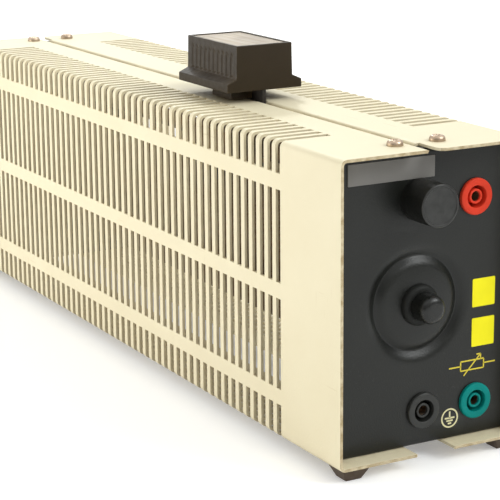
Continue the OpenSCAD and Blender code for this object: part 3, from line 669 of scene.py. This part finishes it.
def unglazed_ceramic():
    made, tree, shader = new_finish("unglazed_ceramic")
    patches = effect(tree, GRAIN, "Patches", Scale=500)
    speckle = effect(tree, GRAIN, "Speckle", Scale=1800)
    colour = mixed(tree, patches, tint("#CFC3AA"), tint("#DDD3BE"))
    # Brown darkening near the tube's corners and openings.
    colour = laid_over(tree, colour, "#8A7A60", GRIME_AND_SHADE, Reach=8 * MM, Amount=0.6)
    coat(tree, shader, colour, speckle, (0.7, 0.9), speckle, 0.04 * MM)
    return made


def flat_print(name, colour, worn):
    """Printed film or ink with faint mottling and rubbed edges."""
    made, tree, shader = new_finish(name, Specular_IOR_Level=0.2)
    patches = effect(tree, GRAIN, "Patches", Scale=1200)
    speckle = effect(tree, GRAIN, "Speckle", Scale=2600)
    shade = mixed(tree, patches, tint(colour), dimmed(tint(colour), 0.93))
    shade = laid_over(tree, shade, worn, EDGE_WEAR, Radius=0.4 * MM, Scale=600, Amount=0.5)
    coat(tree, shader, shade, speckle, (0.36, 0.5), speckle, BRUSHED)
    return made


FINISH = {
    "cover_paint": cover_paint(),
    "plate_paint": plate_paint(),
    "foot_rubber": moulded("foot_rubber", "#4A3A2A", "#6A5844", 0.6, grain=500, depth=0.04 * MM),
    "nickel_steel": plated("nickel_steel", "#D8C4AE", "#A48E78", 0.4),
    "brass": plated("tarnished_brass", "#8A6A3A", "#543C1E", 0.38, (1, 0.05, 1)),
    "ceramic": unglazed_ceramic(),
    "winding_wire": oxidised_wire(),
    "gasket": moulded("silicone_gasket", "#D9D2C0", "#E8E2D4", 0.6),
    # Pale worn edges on black plastic: partly wear, partly painted highlight along the rims.
    "black_plastic": moulded("black_plastic", "#313230", "#666663", 0.36, wear=0.6, gloss=0.35),
    # Rod caps: end face paler than the sides, partly rubbed wear, partly painted light and shade.
    "rubbed_and_lit_black": moulded(
        "rubbed_and_lit_black_plastic", "#171816", "#3A3B39", 0.38, wear=0.2, rubbed_and_lit=0.4),
    "matte_black": moulded("matte_black_plastic", "#1E1F1D", "#3A3A38", 0.6, wear=0.5, gloss=0.2),
    "glossy_black": moulded("glossy_black_plastic", "#191A18", "#5A5A58", 0.32),
    "red_plastic": moulded("red_plastic", "#E5422A", "#F2704C", 0.38, gloss=0.15),
    "green_plastic": moulded("green_plastic", "#038B85", "#3FA5A0", 0.38, gloss=0.12),
    "red_sleeving": moulded("red_sleeving", "#9E2418", "#B84A3C", 0.5, grain=300),
    "black_sleeving": moulded("black_sleeving", "#1C1B1A", "#3A3836", 0.5, grain=300),
    "green_sleeving": moulded("green_sleeving", "#3C7F34", "#6BA45C", 0.5, grain=300),
    "knob_plastic": moulded(
        "knob_phenolic", "#302514", "#8A7A5E", 0.42, grain=420, depth=PEEL, gloss=0.25, grime=0.5,
        dust=0.25),
    "inlay": plated("brushed_inlay", "#968A79", "#7F7465", 0.42, (1, 0.03, 1), 500),
    "laminate": moulded("sheet_laminate", "#2A2521", "#4E463E", 0.55),
    "grey_plate": flat_print("grey_plate", "#7C7A77", "#5A5A5A"),
    "yellow_film": flat_print("yellow_film", "#FFF41E", "#D8CC30"),
    "cream_ink": flat_print("cream_ink", "#E6DFB2", "#C0B888"),
    "yellow_ink": flat_print("yellow_ink", "#E8D448", "#B8A840"),
    "carbon": moulded("copper_graphite", "#46403B", "#6B5F54", 0.6, grain=1500),
}


# Sheet covers


def cover_line(half, floor_reach, wrap, relief):
    """Outer line of a cover's section, from the lip's lower edge to the edge of its floor."""
    corner = half - BEND
    rows = [z for low in reversed(ROWS) for z in (low + ROW_H, low)]
    heights = [TOP - VENT_DROP, *rows, FLOOR + VENT_RISE]
    relieved = [(SLIT + relief, TOP)] if relief > LIP_BEND else []
    return (
        [(SLIT, TOP - LIP)]
        + arc((SLIT + LIP_BEND, TOP - LIP_BEND), LIP_BEND, 180, 90, 5)
        + relieved
        + [(half - wrap, TOP)]
        + arc((corner, TOP - BEND), BEND, 90, 0, 8)
        + [(half, z) for z in heights]
        + arc((corner, FLOOR + BEND), BEND, 0, -90, 8)
        + [(half - wrap, FLOOR), (half - floor_reach, FLOOR)]
    )


def vent_starts():
    """Where each slot begins along the case."""
    count = math.floor((2 * HALF_L - VENT_FRONT - VENT_REAR + NEAR) / VENT_PITCH) + 1
    return [VENT_FRONT - HALF_L + i * VENT_PITCH - VENT_W / 2 for i in range(count)]


def is_open(reach, y, z, half, wrap, relief, starts):
    """True where the sheet is open: in a vent slot, or past the end of the lip."""
    if z > TOP - LIP and reach < SLIT + relief and abs(y) > HALF_L - LIP_STOP:
        return True
    in_slot = any(start < y < start + VENT_W for start in starts)
    at_corner = reach > half - wrap and (z > TOP - VENT_DROP or z < FLOOR + VENT_RISE)
    at_side = reach > half - SHEET and any(low < z < low + ROW_H for low in ROWS)
    return in_slot and (at_corner or at_side)


def cover(name, side, half, floor_reach, wrap, relief, tip_r):
    """One cover: its section drawn out along the case, opened at the vents and made thick."""
    starts = vent_starts()
    ends = [-HALF_L, -HALF_L + LIP_STOP, HALF_L - LIP_STOP, HALF_L]
    stations = sorted(ends + starts + [start + VENT_W for start in starts])
    bm = bmesh.new()
    line = cover_line(half, floor_reach, wrap, relief)
    _, row = chain(bm, [(AXIS + side * x, -HALF_L, z) for x, z in line])
    for near, far in zip(stations, stations[1:]):
        row = extrude_row(bm, row, (0, far - near, 0))
    cut = faces_where(
        bm, lambda m: is_open(side * (m.x - AXIS), m.y, m.z, half, wrap, relief, starts))
    bmesh.ops.delete(bm, geom=cut, context="FACES")
    if tip_r:
        corners = [Vector((AXIS + side * (SLIT + relief), y, TOP)) for y in (-HALF_L, HALF_L)]
        tips = [v for v in bm.verts for corner in corners if (v.co - corner).length < TOUCH]
        round_corners(bm, tips, tip_r, 6, "VERTICES")
    outermost = max(bm.faces, key=lambda f: side * f.calc_center_median().x)
    face_to(bm, outermost, Vector((side, 0, 0)))
    make_piece(name, bm, "cover_paint", HOUSING, [name.replace("_sheet", "_cover")],
               wall=SHEET, round_off=0.2 * MM)


# End plates


def eased(corners, eases, steps=8):
    """A line through corner points, each inner one rounded off over a distance on both sides."""
    points = [Vector(c) for c in corners]
    line = points[:1]
    for before, corner, after, ease in zip(points, points[1:], points[2:], eases):
        start = corner + (before - corner).normalized() * ease
        end = corner + (after - corner).normalized() * ease
        for t in [i / steps for i in range(steps + 1)]:
            line.append(start.lerp(corner, t).lerp(corner.lerp(end, t), t))
    return [tuple(p) for p in line + points[-1:]]


def press_line():
    """Section of the pressed ring and boss as (radius, height), from the plate inwards."""
    corners = [
        (RING_R + RING_REACH + 1.5 * RING_EASE, 0),
        (RING_R + RING_REACH, 0),
        (RING_R, -RING_DEPTH),
        (RING_R - BOSS_REACH, BOSS_H - DOME_H),
        (COLLAR_R + DOME_EASE / 2, BOSS_H),
        (TIE_HOLE, BOSS_H),
    ]
    return eased(corners, [RING_EASE, GROOVE_EASE, BOSS_EASE, DOME_EASE])


def plate_outline(bottom, top):
    """Outline of a plate's flat, with round corners and points where the top flange is notched."""
    r = FOLD
    x = PLATE_W / 2 - r
    notch = FLANGE_NOTCH / 2
    steps = PLATE_CORNER_STEPS
    return (
        arc((-x, bottom + r), r, 180, 270, steps) + arc((x, bottom + r), r, 270, 360, steps)
        + arc((x, top - r), r, 0, 90, steps) + [(AXIS + notch, top), (AXIS - notch, top)]
        + arc((-x, top - r), r, 90, 180, steps)
    )


def fold_flange(bm, height, way):
    """Folds a plate's edge back into the case; way is 1 at the top and -1 at the floor."""
    reach = PLATE_W / 2 - FOLD + NEAR
    row = [e for e in bm.edges if e.is_boundary
           and all(abs(v.co.z - height) < NEAR and abs(v.co.x) < reach for v in e.verts)]
    folded = bmesh.ops.spin(
        bm, geom=row + list({v for e in row for v in e.verts}), cent=(0, FOLD - FACE, height),
        axis=(1, 0, 0), angle=-way * math.pi / 2, steps=5, use_duplicate=False,
    )["geom_last"]
    row = edges_in(folded)
    for start, end in ((FOLD, FLANGE_WEB), (FLANGE_WEB, FLANGE_D)):
        row = extrude_row(bm, row, (0, end - start, 0))


def end_plate(name, side, sockets):
    """A folded plate with its pressed ring; side is -1 for the front and 1 for the rear."""
    bottom, top = FLOOR + SHEET + FOLD, TOP - SHEET - FOLD
    bm = bmesh.new()
    turn(bm, press_line(), on_front(AXIS, TUBE_Z), 96)
    bmesh.ops.remove_doubles(bm, verts=bm.verts, dist=NEAR)
    rim = [e for e in bm.edges if e.is_boundary and all(
        math.hypot(v.co.x - AXIS, v.co.z - TUBE_Z) > RING_R for v in e.verts)]
    rim += closed_chain(bm, [(x, -FACE, z) for x, z in plate_outline(bottom, top)])[1]
    holes = [(centre("guide_rod"), ROD_HOLE)] + [(centre(node), SOCKET_HOLE) for node in sockets]
    for middle, radius in holes:
        place = on_front(middle.x, middle.z)
        ring = bmesh.ops.create_circle(bm, segments=48, radius=radius, matrix=place)
        rim += edges_at(ring["verts"])
    bmesh.ops.triangle_fill(bm, edges=rim, use_beauty=True, normal=(0, -1, 0))
    fold_flange(bm, top, 1)
    fold_flange(bm, bottom, -1)
    notch = faces_where(bm, lambda m: (
        m.y > FLANGE_WEB - FACE and m.z > TUBE_Z and abs(m.x - AXIS) < FLANGE_NOTCH / 2))
    bmesh.ops.delete(bm, geom=notch, context="FACES")
    if side > 0:
        bmesh.ops.scale(bm, vec=(1, -1, 1), verts=bm.verts)
    close_up(bm)
    face_to(bm, max(bm.faces, key=lambda f: f.calc_area()), Vector((0, side, 0)))
    make_piece(name, bm, "plate_paint", HOUSING,
               [name.replace("_panel", "_end_plate")], wall=PLATE_T, round_off=0.2 * MM, crease=50)


# Turned pieces on the plates


def round_rim(radius, height, rounding, steps=6):
    """Line of a disc's rim, from its top face round to its side."""
    return arc((radius - rounding, height - rounding), rounding, 90, 0, steps)


def capped_line(radius, length, rounding, bore, bore_deep, dish=0):
    """Section of a round cap, its face flat or sunk, with a blind bore."""
    lip = radius - rounding - CAP_LIP
    sunk = [(lip - dish, length - dish), (lip, length)] if dish else []
    return (
        [(0, length - dish)] + sunk + round_rim(radius, length, rounding)
        + [(radius, 0), (bore, 0), (bore, bore_deep), (0, bore_deep)]
    )


def collar_line(radius, thick, rounding, bore):
    line = round_rim(radius, thick, rounding) + [(radius, 0), (bore, 0), (bore, thick)]
    return line + line[:1]


def socket_line():
    """Section of a socket: rim, barrel, ring-shaped well, and a post with a bore for the plug."""
    post = RIM_T - POST_DROP
    line = (
        round_rim(RIM_R, RIM_T, RIM_ROUND) + [(RIM_R, 0), (BARREL_R, 0), (BARREL_R, -BARREL_L)]
        + [(SLEEVE_R, -BARREL_L), (SLEEVE_R, RIM_T - SLEEVE_DROP), (POST_BORE, RIM_T - SLEEVE_DROP)]
        + arc((POST_BORE + MOUTH_ROUND, post - MOUTH_ROUND), MOUTH_ROUND, 180, 90, 3)
        + arc((POST_R - MOUTH_ROUND, post - MOUTH_ROUND), MOUTH_ROUND, 90, 0, 3)
        + [(POST_R, -WELL_FLOOR), (WELL_R, -WELL_FLOOR)]
        + arc((WELL_R + MOUTH_ROUND, RIM_T - MOUTH_ROUND), MOUTH_ROUND, 180, 90, 4)
    )
    return line + line[:1]


def turned(name, line, places, finish, node, steps=64):
    """A piece made of one turned section, set at each of its places."""
    bm = bmesh.new()
    for place in places:
        turn(bm, line, place, steps)
    close_up(bm)
    make_piece(name, bm, finish, HOUSING, [node])


def socket(name, node, finish, place):
    middle = centre(node)
    turned(name, socket_line(), [place(middle.x, middle.z)], finish, node)


def raised(place, height):
    """A place on a plate, lifted off its face."""
    return place @ Matrix.Translation((0, 0, height))


def plate_fittings():
    """Collars, domed nuts, rod caps and sockets on both plates."""
    ties = [on_front(AXIS, TUBE_Z), on_rear(AXIS, TUBE_Z)]
    rod_z = centre("guide_rod").z
    rods = [on_front(AXIS, rod_z), on_rear(AXIS, rod_z)]
    collar = collar_line(COLLAR_R, COLLAR_T, COLLAR_ROUND, TIE_R + FIT)
    turned("tie_collars", collar, [raised(tie, BOSS_H) for tie in ties], "matte_black",
           "tie_rod_collars")
    nut = capped_line(NUT_R, NUT_L, NUT_ROUND, TIE_R + FIT, NUT_L - NUT_CROWN)
    for end, tie in zip(ENDS, ties):
        turned(f"{end}_domed_nut", nut, [raised(tie, BOSS_H + COLLAR_T)], "glossy_black",
               f"{end}_cap_nut")
    cap = capped_line(
        ROD_CAP_R, ROD_CAP_L, RIM_ROUND, ROD_R + FIT, ROD_CAP_L - ROD_CAP_CROWN, CAP_DISH)
    for end, rod in zip(ENDS, rods):
        turned(f"{end}_rod_end", cap, [rod], "rubbed_and_lit_black", f"{end}_rod_cap", 80)
    socket("red_terminal", "red_socket", "red_plastic", on_front)
    socket("black_terminal", "black_socket", "black_plastic", on_front)
    socket("earth_terminal", "earth_socket", "green_plastic", on_front)
    socket("rear_terminal", "rear_socket", "black_plastic", on_rear)


# Feet and cover screws


def corners_in(node, inset):
    """Four places in a node's box, an inset from its corners, at height 0."""
    low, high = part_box(node)
    return [Vector((x, y, 0)) for x in (low.x + inset, high.x - inset)
            for y in (low.y + inset, high.y - inset)]


def feet():
    """Four tapered feet with rounded corners."""
    half = FOOT_W / 2
    bm = bmesh.new()
    block(bm, (-half, -half, 0), (half, half, FLOOR))
    tip = [v for v in bm.verts if v.co.z < FLOOR / 2]
    bmesh.ops.scale(bm, vec=(FOOT_TIP, FOOT_TIP, 1), verts=tip)
    set_at(bm, corners_in("feet", half))
    make_piece("rubber_feet", bm, "foot_rubber", HOUSING, ["feet"],
               round_off=0.6 * MM, rounds=3)


def screw(bm, place):
    """A pan-head screw: a cross recess in a flat top, a rounded side and a plain shank below."""
    known = set(bm.verts)
    ring = bmesh.ops.create_circle(bm, segments=32, radius=HEAD_FLAT)["verts"]
    rim = edges_at(ring)
    arm = [(CROSS_W, -CROSS_W), (CROSS_L, -CROSS_W), (CROSS_L, CROSS_W)]
    spokes = [Matrix.Rotation(quarter * math.pi / 2, 4, "Z") for quarter in range(4)]
    verts, recess = closed_chain(
        bm, [spoke @ Vector((x, y, 0)) for spoke in spokes for x, y in arm])
    bmesh.ops.translate(bm, vec=(0, 0, HEAD_H), verts=ring + verts)
    bmesh.ops.triangle_fill(bm, edges=rim + recess, use_beauty=True, normal=(0, 0, 1))
    bmesh.ops.contextual_create(
        bm, geom=extrude_row(bm, recess, (0, 0, -CROSS_DEEP), CROSS_TAPER))
    drop = HEAD_H - HEAD_SIDE
    side = arc((0, HEAD_SIDE), drop, 90, 0, 6)
    side = [(HEAD_FLAT + r / drop * (HEAD_R - HEAD_FLAT), z) for r, z in side]
    line = side + [(HEAD_R, 0), (SHANK_R, 0), (SHANK_R, -SHANK_L)]
    for (r, z), (next_r, next_z) in zip(line, line[1:]):
        rim = extrude_row(bm, rim, (0, 0, next_z - z), next_r / r)
    bmesh.ops.contextual_create(bm, geom=rim)
    bmesh.ops.transform(bm, matrix=place, verts=[v for v in bm.verts if v not in known])


def cover_screws(name, node, height, flip):
    """Four screws near the corners of a node's box, on top of the covers or under their floor."""
    turned_over = Matrix.Rotation(math.pi, 4, "X") if flip else Matrix()
    bm = bmesh.new()
    for place in corners_in(node, HEAD_INSET):
        screw(bm, Matrix.Translation((place.x, place.y, height)) @ turned_over)
    close_up(bm)
    make_piece(name, bm, "nickel_steel", HOUSING, [node], round_off=0.08 * MM)


# Slider


def knob_side(top, half_base):
    """Right half of the knob's section: base, slope, gripped side and rim of the sunk top."""
    low = TOP + KNOB_LIFT
    waist = low + KNOB_EDGE + KNOB_SLOPE
    rise = [i / SIDE_STEPS for i in range(SIDE_STEPS + 1)]
    side = [(KNOB_W / 2 - KNOB_DRAFT * t, waist + (top - waist) * t) for t in rise]
    return [(half_base, low), (half_base, low + KNOB_EDGE)] + side + [(KNOB_W / 2 - KNOB_RIM, top)]


def grip_cut(y, z, length, low, high):
    """Depth of the finger grooves at a place on the knob's side; each ends in an arch."""
    pitch = (length - 2 * GRIP_MARGIN) / GRIPS
    along = (y + length / 2 - GRIP_MARGIN) / pitch
    if not 0 < along < GRIPS or not low < z < high:
        return 0
    across = (along % 1 - 0.5) * pitch / GRIP_R
    end = max(0, z - (high - GRIP_R)) / GRIP_R
    return GRIP_DEPTH * max(0, 1 - across ** 2 - end ** 2)


def knob():
    """The knob: its section drawn out, finger grooves pressed in, the top sunk, a skid below."""
    low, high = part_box("slider_knob")
    middle = (low.y + high.y) / 2
    length = high.y - low.y
    half_base = (high.x - low.x) / 2
    right = knob_side(high.z, half_base)
    section = right + [(-x, z) for x, z in reversed(right)]
    pitch = (length - 2 * GRIP_MARGIN) / GRIPS
    grips = [GRIP_MARGIN + pitch * i / GRIP_STEPS for i in range(GRIPS * GRIP_STEPS + 1)]
    stations = sorted({0, KNOB_RIM, *grips, length - KNOB_RIM, length})
    bm = bmesh.new()
    _, row = closed_chain(bm, [(AXIS + x, low.y, z) for x, z in section])
    bmesh.ops.contextual_create(bm, geom=row)
    for near, far in zip(stations, stations[1:]):
        row = extrude_row(bm, row, (0, far - near, 0))
    bmesh.ops.contextual_create(bm, geom=row)
    waist = TOP + KNOB_LIFT + KNOB_EDGE + KNOB_SLOPE
    for v in bm.verts:
        if v.co.z > waist - TOUCH and abs(v.co.x - AXIS) > KNOB_W / 2 - KNOB_RIM / 2:
            cut = grip_cut(v.co.y - middle, v.co.z, length, waist + TOUCH, high.z - GRIP_TOP)
            v.co.x -= math.copysign(cut, v.co.x - AXIS)
    rim_x, rim_y = KNOB_W / 2 - KNOB_RIM, length / 2 - KNOB_RIM
    top = faces_where(bm, lambda m: (
        m.z > high.z - TOUCH and abs(m.x - AXIS) < rim_x and abs(m.y - middle) < rim_y))
    sunk = bmesh.ops.extrude_face_region(bm, geom=top)["geom"]
    bmesh.ops.delete(bm, geom=top, context="FACES")
    bmesh.ops.translate(bm, vec=(0, 0, -KNOB_SINK), verts=verts_in(sunk))
    skid = Vector((AXIS + SKID_MIDDLE.x, middle + SKID_MIDDLE.y))
    corner = SKID_SIZE / 2
    skid_top = TOP + KNOB_LIFT + KNOB_EDGE / 2
    block(bm, (*(skid - corner), TOP + SKID_LIFT), (*(skid + corner), skid_top))
    close_up(bm)
    make_piece("knob", bm, "knob_plastic", SLIDER, ["slider_knob"],
               round_off=0.35 * MM, rounds=3, crease=30)


def knob_inlay():
    """The flat plate in the knob's sunk top."""
    low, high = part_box("slider_top_plate")
    knob_low, knob_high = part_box("slider_knob")
    inset = KNOB_RIM + INLAY_GAP
    half = KNOB_W / 2 - inset
    bm = bmesh.new()
    block(bm, (AXIS - half, knob_low.y + inset, low.z), (AXIS + half, knob_high.y - inset, high.z))
    round_corners(bm, upright_edges(bm), INLAY_CORNER, 4)
    make_piece("knob_inlay", bm, "inlay", SLIDER, ["slider_top_plate"],
               round_off=0.15 * MM)


# Winding


def winding():
    """The wire, one close coil round the tube: one turn, copied along the tube and joined."""
    low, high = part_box("resistance_winding")
    turns = round((high.y - low.y) / TURN_PITCH) - 1
    middle_r = (high.z - low.z) / 2 - WIRE / 2
    start = Matrix.Translation((AXIS + middle_r, low.y + TURN_PITCH / 2, TUBE_Z))
    bm = bmesh.new()
    circle = bmesh.ops.create_circle(bm, segments=WIRE_SIDES, radius=WIRE / 2, matrix=start)
    bmesh.ops.spin(
        bm, geom=circle["verts"] + edges_at(circle["verts"]), cent=(AXIS, 0, TUBE_Z),
        axis=(0, 1, 0), dvec=(0, TURN_PITCH / TURN_STEPS, 0), angle=2 * math.pi,
        steps=TURN_STEPS, use_duplicate=False,
    )
    set_at(bm, [(0, i * TURN_PITCH, 0) for i in range(turns)])
    bmesh.ops.remove_doubles(bm, verts=bm.verts, dist=NEAR)
    bmesh.ops.holes_fill(bm, edges=[e for e in bm.edges if e.is_boundary], sides=0)
    bmesh.ops.recalc_face_normals(bm, faces=bm.faces)
    make_piece("wire_coil", bm, "winding_wire", HOUSING, ["resistance_winding"],
               crease=60)


# Printing and small plates on the front


def flat_panel(name, corners, thick, rounding, finish, edge):
    """A thin plate with round corners on the front plate, between two corners in X and Z."""
    (x0, z0), (x1, z1) = corners
    bm = bmesh.new()
    block(bm, (x0 * MM, -FACE - thick, z0 * MM), (x1 * MM, -FACE, z1 * MM))
    deep = [e for e in bm.edges if abs(e.verts[0].co.y - e.verts[1].co.y) > thick / 2]
    round_corners(bm, deep, rounding, 4)
    make_piece(name, bm, finish, HOUSING, round_off=edge)


def ink_bar(bm, start, end, width):
    """A straight printed line in the plane of the front plate."""
    (x0, z0), (x1, z1) = start, end
    length = math.hypot(x1 - x0, z1 - z0)
    made = block(bm, (0, -width / 2, 0), (length, width / 2, INK_T))
    angle = Matrix.Rotation(math.atan2(z1 - z0, x1 - x0), 4, "Z")
    bmesh.ops.transform(bm, matrix=on_front(x0, z0) @ angle, verts=made)


def ink_ring(bm, middle, radius, width):
    inner = radius - width
    line = [(inner, 0), (inner, INK_T), (radius, INK_T), (radius, 0), (inner, 0)]
    turn(bm, line, on_front(*middle), 64)


def earth_sign():
    """The common sign for protective earth: a ring, a stem and three bars."""
    x, z = (c * MM for c in EARTH_SIGN)
    bm = bmesh.new()
    ink_ring(bm, (x, z), EARTH_RING_R, EARTH_RING_W)
    ink_bar(bm, (x, z), (x, z + EARTH_STEM), EARTH_LINE)
    for half, drop in EARTH_BARS:
        ink_bar(bm, (x - half, z - drop), (x + half, z - drop), EARTH_LINE)
    close_up(bm)
    make_piece("earth_sign", bm, "cream_ink", HOUSING)


def resistor_sign():
    """The common drawing of a variable resistor: a box between wires, an arrow across it."""
    x, z = (c * MM for c in RESISTOR_SIGN)
    w, h = RESISTOR_HALF_W, RESISTOR_HALF_H
    tip = (x + ARROW_REACH, z + ARROW_REACH)
    lines = [
        ((x - ARROW_REACH, z - ARROW_REACH), tip),
        (tip, (tip[0] - ARROW_BARB, tip[1])),
        (tip, (tip[0], tip[1] - ARROW_BARB)),
    ]
    for side in (-1, 1):
        lines.append(((x - w, z + side * h), (x + w, z + side * h)))
        lines.append(((x + side * w, z - h), (x + side * w, z + h)))
        lines.append(((x + side * w, z), (x + side * 2 * w, z)))
    bm = bmesh.new()
    for start, end in lines:
        ink_bar(bm, start, end, RESISTOR_LINE)
    close_up(bm)
    make_piece("resistor_sign", bm, "yellow_ink", HOUSING)


def front_printing():
    flat_panel("grey_plate", NAME_PLATE, NAME_PLATE_T, NAME_PLATE_CORNER, "grey_plate", 0.1 * MM)
    for i, corners in enumerate(YELLOW_LABELS, 1):
        flat_panel(f"yellow_label_{i}", corners, LABEL_T, LABEL_CORNER, "yellow_film", 0.04 * MM)
    earth_sign()
    resistor_sign()


# Stage: floor, light and camera


def pale_floor():
    """Pale floor that glows to the camera and in reflections, less under the case, which paints
    shade there.
    """
    made, tree, shader = new_finish(
        "pale_floor", Base_Color=FLOOR_GREY, Emission_Color=WHITE, Roughness=0.9,
        Specular_IOR_Level=0.1)
    path = put(tree, "ShaderNodeLightPath").outputs
    seen = maths(tree, "MAXIMUM", path["Is Camera Ray"], path["Is Transmission Ray"])
    seen = maths(tree, "MAXIMUM", seen, path["Is Glossy Ray"])
    place = axes(tree, object_place(tree))
    past = [maths(tree, "SUBTRACT", maths(tree, "ABSOLUTE", place[axis], 0.0), half)
            for axis, half in (("X", right_high.x), ("Y", HALF_L))]
    outside = maths(tree, "MAXIMUM", *past)
    # Painted shade: the glow drops under the case.
    glow = ranged(tree, outside, -SHADE_EDGE, SHADE_EDGE, SHADE_GLOW, FLOOR_GLOW)
    feed(tree, shader, "Emission Strength", maths(tree, "MULTIPLY", seen, glow))
    bm = bmesh.new()
    bmesh.ops.create_grid(bm, x_segments=1, y_segments=1, size=FLOOR_SIZE)
    mesh = bpy.data.meshes.new("floor")
    bm.to_mesh(mesh)
    bm.free()
    mesh.materials.append(made)
    floor = bpy.data.objects.new("floor", mesh)
    bpy.context.scene.collection.objects.link(floor)


def white_world():
    """White to the camera; reflections show a white sweep behind and above, a dim room in front."""
    world = bpy.data.worlds.new("white_studio")
    bpy.context.scene.world = world
    world.use_nodes = True
    tree = world.node_tree
    path = put(tree, "ShaderNodeLightPath").outputs
    way = axes(tree, put(tree, "ShaderNodeTexCoord").outputs["Generated"])
    behind = ranged(tree, way["Y"], -0.25, 0.3)
    above = ranged(tree, way["Z"], 0.2, 0.75)
    shown = mixed(tree, maths(tree, "MAXIMUM", behind, above), ROOM_DIM, WHITE)
    white = maths(tree, "MAXIMUM", path["Is Camera Ray"], path["Is Transmission Ray"])
    colour = mixed(tree, path["Is Glossy Ray"], AMBIENT, shown)
    feed(tree, tree.nodes["Background"], "Color", mixed(tree, white, colour, WHITE))


def hang(lamp, direction, place=(0, 0, 0)):
    """Puts a lamp at a place, shining from a direction."""
    holder = bpy.data.objects.new(lamp.name, lamp)
    holder.location = place
    holder.rotation_mode = "QUATERNION"
    holder.rotation_quaternion = Vector(direction).to_track_quat("Z", "Y")
    holder.visible_camera = False
    bpy.context.scene.collection.objects.link(holder)


def sun(name, direction, strength, spread, colour):
    """A far lamp with a soft edge."""
    lamp = bpy.data.lights.new(name, "SUN")
    lamp.energy = strength
    lamp.angle = math.radians(spread)
    lamp.color = colour
    hang(lamp, direction)


def panel(name, place, aim, size, power, colour):
    """A square soft box at a place, turned to a point."""
    lamp = bpy.data.lights.new(name, "AREA")
    lamp.energy = power
    lamp.size = size
    lamp.color = colour
    hang(lamp, Vector(place) - Vector(aim), place)


def photo_camera():
    """Camera at the photograph's place, with its slight roll."""
    level = math.cos(PITCH)
    ahead = Vector((math.sin(YAW) * level, math.cos(YAW) * level, -math.sin(PITCH)))
    side = Vector((math.cos(YAW), -math.sin(YAW), 0))
    above = side.cross(ahead)
    right = side * math.cos(ROLL) + above * math.sin(ROLL)
    up = above * math.cos(ROLL) - side * math.sin(ROLL)
    lens = bpy.data.cameras.new("photo_camera")
    lens.sensor_width = SENSOR
    lens.lens = SENSOR * FOCAL_PX / IMAGE_PX
    lens.clip_start, lens.clip_end = 0.01, 60
    camera = bpy.data.objects.new("photo_camera", lens)
    turned_to = Matrix((right, up, -ahead)).transposed().to_4x4()
    camera.matrix_world = Matrix.Translation(CAMERA) @ turned_to
    bpy.context.scene.collection.objects.link(camera)
    bpy.context.scene.camera = camera


def finish_frame_nodes():
    """Gives each solid of the frame the finish of its material slot."""
    slots = {part["node"]: part["material_slot"] for part in frame["record"]["subparts"]}
    for name, node in frame["nodes"].items():
        node.data.materials.clear()
        node.data.materials.append(FINISH[slots[name]])


finish_frame_nodes()
cover("left_sheet", -1, LEFT_HALF, LEFT_FLOOR, LEFT_WRAP, LEFT_RELIEF, 0)
cover("right_sheet", 1, RIGHT_HALF, RIGHT_FLOOR, RIGHT_WRAP, RIGHT_RELIEF, RIGHT_TIP_R)
end_plate("front_panel", -1, ["red_socket", "black_socket", "earth_socket"])
end_plate("rear_panel", 1, ["rear_socket"])
plate_fittings()
feet()
cover_screws("top_screws", "top_cover_screws", TOP, False)
cover_screws("floor_screws", "bottom_cover_screws", FLOOR, True)
knob()
knob_inlay()
winding()
front_printing()

pale_floor()
white_world()
sun("sky_light", (0, 0, 1), strength=0.4, spread=120, colour=(0.94, 1, 0.98))
sun("back_light", (14, 36, 25), strength=0.75, spread=8, colour=(0.97, 1, 0.98))
sun("key_light", (0.55, -0.6, 0.62), strength=1.35, spread=28, colour=(0.97, 1, 1))
sun("side_light", (-40, 8, 0), strength=0.3, spread=45, colour=(1, 0.88, 0.72))
sun("front_light", (0.2, -1, 0.35), strength=0.2, spread=60, colour=(1, 0.97, 0.9))
panel("rear_side_panel", place=(-0.5, 0.14, 0.06), aim=(-0.04, 0.06, 0.05), size=0.25, power=1.1,
      colour=(1, 0.98, 0.92))
photo_camera()
bpy.context.scene.view_settings.view_transform = "Standard"
